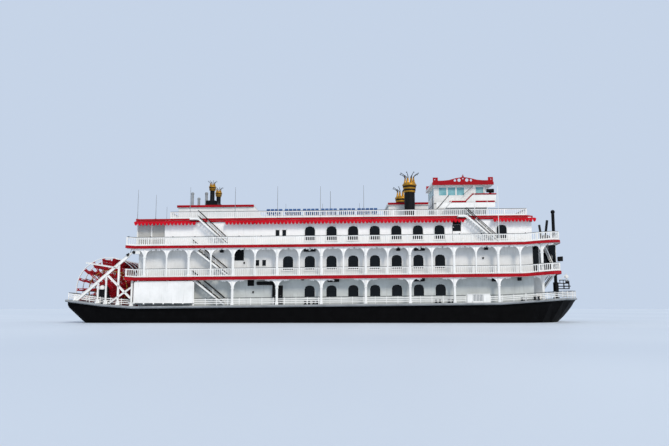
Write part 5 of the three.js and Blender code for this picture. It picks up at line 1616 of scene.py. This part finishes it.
# Each row is x, the height of the top, the width and the height of a box
LAMPS = [
    (-3.3, 9.98, 1.6, 0.58), (11.3, 9.92, 1.45, 0.55), (-0.15, 5.76, 1.55, 0.42), (11.25, 5.72, 1.4, 0.42),
    (-15.0, 9.9, 0.5, 0.5), (8.5, 9.8, 0.5, 0.42), (20.2, 9.9, 0.5, 0.5), (21.1, 5.74, 0.55, 0.55),
    (24.5, 5.72, 0.5, 0.5), (-4.2, 5.8, 0.4, 0.2), (-10.9, 13.55, 0.45, 0.3), (-4.5, 13.55, 0.45, 0.3),
    (4.8, 13.5, 0.42, 0.25), (13.4, 13.48, 0.4, 0.22), (26.3, 13.5, 0.3, 0.4),
]
lamp_parts = [speaker_bar(*row) for row in LAMPS]
for x, z in ((-12.05, 7.9), (-10.8, 4.0), (19.85, 8.2)):
    lamp_parts.append(block("meter_box", (x - 0.1, x + 0.1), (-WALL - 0.1, -WALL), (z, z + 0.25),
                            fitting_black, 0.02))
settle(follow_sheer(both_sides(join_up("lamps_and_speakers", lamp_parts))))


# %% Mooring bitts and rail lamps
BOLLARD = [(0.12, 0.06), (0.12, 0.36), (0.17, 0.4), (0.17, 0.46), (0.1, 0.5)]


def bitt(x, y):
    """Two bollards on one base plate."""
    parts = [block("bitt_base", (x - 0.45, x + 0.45), (y - 0.16, y + 0.16), (MAIN_TOP, MAIN_TOP + 0.08),
                   fitting_black, 0.02)]
    for dx in (-0.25, 0.25):
        profile = [(radius, MAIN_TOP + up) for radius, up in BOLLARD]
        parts.append(turned("bollard", x + dx, y, profile, fitting_black, 14))
    return join_up("bitt", parts)


fittings = [bitt(x, -8.35) for x in (-3.6, -2.5, 13.6, 15.3, 24.9, 26.6)]
settle(follow_sheer(both_sides(join_up("mooring_bitts", fittings))))

rail_lamp = rod("rail_lamp", (-27.2, RAIL_Y, THIRD_TOP + 1.1), (-27.2, RAIL_Y, THIRD_TOP + 1.24), 0.085,
                fitting_black, 10, 0.05)
in_a_row(rail_lamp, POST_COUNT + 1, (POST_STEP, 0, 0))
settle(follow_sheer(both_sides(rail_lamp)))

# %% [markdown]
# ## Sun deck
# Rows of moulded blue seats stand on a low platform along each side of the sun deck. A seat is a
# softened block on a leg, with a second one for its back, and a slit cut through that for rain. Slim
# poles carry lights and aerials; each is a tapering rod in a turned foot.

# %% Seats
SEAT_Z = SUN_TOP + 0.74
SEAT_STEP = 0.56


def seat_row(x, count, y, facing):
    """Seats side by side from x forward, their backs at y; facing is 1 to port and -1 to starboard."""
    width, leg_x, leg_y = (x + 0.03, x + 0.5), x + 0.26, y + facing * 0.2
    shell = block("seat", width, sorted((y, y + facing * 0.45)), (SEAT_Z, SEAT_Z + 0.06), seat_blue, 0.025)
    back = block("back", width, sorted((y - facing * 0.06, y)), (SEAT_Z + 0.05, SEAT_Z + 0.62),
                 seat_blue, 0.03)
    cut_with(back, block("slit", (x + 0.12, x + 0.41), (y - 1, y + 1), (SEAT_Z + 0.3, SEAT_Z + 0.36), None))
    leg = rod("leg", (leg_x, leg_y, SUN_TOP + 0.38), (leg_x, leg_y, SEAT_Z + 0.02), 0.03, grey_enamel, 8)
    return in_a_row(join_up("seats", [shell, back, leg]), count, (SEAT_STEP, 0, 0))


seats = [block("seat_platform", (-9.4, 6.2), (-7.15, -4.3), (SUN_TOP, SUN_TOP + 0.4), white_enamel, 0.03)]
for x, count in ((-9.3, 4), (-6.82, 4), (-4.34, 4), (-1.86, 4), (0.62, 4), (3.1, 5)):
    for y, facing in ((-6.6, -1), (-6.45, 1), (-4.9, 1)):
        seats.append(seat_row(x, count, y, facing))
settle(follow_sheer(both_sides(join_up("sun_deck_seats", seats))))

# %% Poles, antennas and vent pipes
# Each pole: x, y, the height of its foot and of its tip
POLES = [
    (-26.55, -7.55, SUN_TOP, 18.1), (-24.1, -7.55, SUN_TOP, 17.4), (-19.5, -7.5, SUN_TOP, 18.4),
    (-13.42, -7.5, SUN_TOP, 18.3), (-7.7, -7.5, SUN_TOP, 18.4), (-1.9, -7.5, SUN_TOP, 18.35),
    (3.95, -7.5, SUN_TOP, 18.4), (-0.6, 0, SUN_TOP, 19.0), (18.9, -7.62, SUN_TOP, 18.2),
    (20.62, -7.62, SUN_TOP, 16.3), (21.75, -8.95, THIRD_TOP, 17.9),
]
poles = []
for x, y, foot, top in POLES:
    thick, paint = (0.04, guard_grey) if x < CHIMNEY_X else (0.05, white_enamel)
    poles.append(rod("pole", (x, y, foot), (x, y, top), thick, paint, 8, thick * 0.6))
    poles.append(turned("foot", x, y, [(0.12, foot), (0.12, foot + 0.04), (0.07, foot + 0.12)], paint, 12))
settle(follow_sheer(both_sides(join_up("light_poles", poles))))

VENT_PIPE = [(0.2, 16.4), (0.2, 18.3), (0.24, 18.34), (0.24, 18.5), (0.15, 18.62)]
pipes = []
for x in (-20.4, -18.4):
    for y in (-2.2, 2.2):
        pipes.append(turned("vent_pipe", x, y, VENT_PIPE, guard_grey, 16))
for y in (-2.5, 2.5):
    pipes.append(block("uptake", (-18.3, -16.9), (y - 0.55, y + 0.55), (16.4, 17.3), soot_black, 0.03))
pipes.append(block("duct", (-17.9, -16.9), (-3.0, 3.0), (16.4, 17.1), soot_black, 0.03))
settle(follow_sheer(join_up("vent_pipes", pipes)))

# %% [markdown]
# ## Pilothouse balcony
# A bulwark runs round the balcony, its cap painted red, and steps down in a slope to the walkway.
# Plate bulwarks are cut from sheet and stiffened by a cap, so each side here is a thin sheet with
# a cap on it. The searchlight stands behind it on a post.

# %% Bulwark
BALCONY_Y = -4.25
SHEET_Z, CAP_Z = (16.6, 17.6), (17.52, 17.7)
bulwark = []
for y in (BALCONY_Y, -BALCONY_Y):
    bulwark.append(block("sheet", (19.4, 22.68), (y - 0.03, y + 0.03), SHEET_Z, white_enamel))
    bulwark.append(block("cap", (19.3, 22.75), (y - 0.1, y + 0.1), CAP_Z, red_enamel, 0.025))
    bulwark.append(spar("sloping_cap", (18.4, y, 16.62), (19.42, y, 17.62), 0.16, 0.15, red_enamel, 0.02))
    bulwark.append(block("walk_edge", (16.15, 18.5), (y - 0.08, y + 0.08), (16.43, 16.68),
                         red_enamel, 0.03))
    bulwark.append(block("walk_edge", (19.8, 22.5), (y - 0.08, y + 0.08), (16.43, 16.66), red_enamel, 0.03))
    # The skirt takes the lighter white as painted light under the balcony
    bulwark.append(block("skirt", (14.3, 22.55), (y - 0.03, y + 0.03), (15.7, 16.45),
                         lit_wall_enamel, 0.01))
    web = block("web", (18.4, 19.42), (y - 0.025, y + 0.025), (16.55, 17.6), white_enamel)
    bulwark.append(trim(web, (18.4, y, 16.55), (-1.02, 0, 1.05)))
bulwark.append(block("front_sheet", (22.64, 22.7), (BALCONY_Y, -BALCONY_Y), SHEET_Z, white_enamel))
bulwark.append(block("front_cap", (22.57, 22.75), (BALCONY_Y, -BALCONY_Y), CAP_Z, red_enamel, 0.025))
settle(follow_sheer(join_up("balcony_bulwark", bulwark)), stands_for=["balcony_rail"])

# %% Handrails by the pilothouse
rails = []
for y in (-3.3, 3.3):
    out = math.copysign(4.4, y)
    rails.append(rod("stair_rail", (14.3, out, 15.5), (16.05, out, 17.45), 0.05, fitting_black, 8))
    for x, z in ((14.4, 15.6), (16.0, 17.4)):
        rails.append(rod("rail_post", (x, out, z - 0.9), (x, out, z), 0.04, white_enamel, 8))
    rails.append(rod("stair_rail", (18.3, y, 17.7), (19.7, y, 18.95), 0.03, fitting_black, 8))
    rails.append(rod("string", (14.3, out, 14.4), (16.4, out, 16.6), 0.06, white_enamel, 8))
    rails.append(rod("corner_post", (13.9, y, SUN_TOP), (13.9, y, 17.6), 0.05, grey_enamel, 8))
settle(follow_sheer(join_up("pilothouse_handrails", rails)))

# %% [markdown]
# ## Stern fittings
# On each side a pillow block carries the shaft, under a white cowl, and floodlights on thin rods
# light the wheel at night. Under the sign board a row of freeing ports lets water off the deck.

# %% Cowls, floodlights and freeing ports
COWL_Y = -7.85
bpy.ops.object.select_all(action="DESELECT")
bpy.ops.mesh.primitive_uv_sphere_add(segments=20, ring_count=12, radius=0.42,
                                     location=(WHEEL_X, COWL_Y, WHEEL_Z + 0.05))
cowl = set_down(bpy.context.object, "cowl", white_enamel)
stern_parts = [
    trim(cowl, (WHEEL_X, COWL_Y, WHEEL_Z - 0.1), (0, 0, -1)),
    block("bearing_cap", (WHEEL_X - 0.38, WHEEL_X + 0.38), (-8.1, -7.6), (WHEEL_Z - 1.2, WHEEL_Z),
          soot_black, 0.05),
]
for x, z in ((-26.35, 9.4), (-27.1, 9.05)):
    stern_parts.append(rod("floodlight", (x, -8.5, z), (x - 0.3, -8.62, z - 0.28), 0.16,
                           fitting_black, 14, 0.24))
    stern_parts.append(rod("bracket", (x + 0.05, -8.45, z), (x + 0.2, -8.45, 9.75), 0.03, fitting_black, 8))
stern_parts.append(rod("lamp_rod", (-27.3, -8.6, 9.0), (-28.0, -8.6, 8.3), 0.04, fitting_black, 8))
# Each freeing port is a dark grey slab on the bulwark: painted shade in the opening
slots = block("port", (-26.1, -25.0), (-8.93, -8.89), (2.36, 2.56), grey_enamel, 0.02)
stern_parts.append(in_a_row(slots, 6, (1.28, 0, 0)))
settle(both_sides(join_up("stern_fittings", stern_parts)))

# %% [markdown]
# ## Water, light and air
# The boat floats, so the floor is the water's surface, at the waterline, and the hull goes on below
# it. The light is a bright overcast noon: a broad sky from all sides and one wide soft sun high over
# the starboard bow, which puts the walkways under the decks in a cool shade, as in the photograph.

# %% Floor at the waterline
FLOOR_RADIUS = 900
bpy.ops.object.select_all(action="DESELECT")
bpy.ops.mesh.primitive_circle_add(vertices=96, radius=FLOOR_RADIUS, fill_type="NGON",
                                  location=(0, 0, WATERLINE))
floor_paint, tree, surface, place = finish("pale_studio_floor", **{"Roughness": 0.5, "Metallic": 0.0})
colour_by(tree, surface, noise(tree, place, 0.05, 2.0), [(0.3, "#c3ccd6"), (0.7, "#cdd5dd")])
floor = set_down(bpy.context.object, "floor", floor_paint)

# %% Sky and sun
SKY_STRENGTH, SUN_STRENGTH = 0.84, 2.2
SUN_WIDTH, SUN_FROM_OVERHEAD, SUN_BEARING = 18, 48, 28
world = bpy.data.worlds.new("overcast_sky")
bpy.context.scene.world = world
world.use_nodes = True
background = world.node_tree.nodes["Background"]
background.inputs["Color"].default_value = hex_colour("#d6e5fa")
background.inputs["Strength"].default_value = SKY_STRENGTH
sun_data = bpy.data.lights.new("sun", "SUN")
sun_data.energy = SUN_STRENGTH
sun_data.angle = math.radians(SUN_WIDTH)
sun_data.color = hex_colour("#fff6ea")[:3]
sun = bpy.data.objects.new("sun", sun_data)
sun.rotation_euler = (math.radians(SUN_FROM_OVERHEAD), 0, math.radians(SUN_BEARING))
bpy.context.scene.collection.objects.link(sun)

# The eye sees whites and reds as a camera's plain picture does, without a film curve over them
bpy.context.scene.view_settings.view_transform = "Standard"
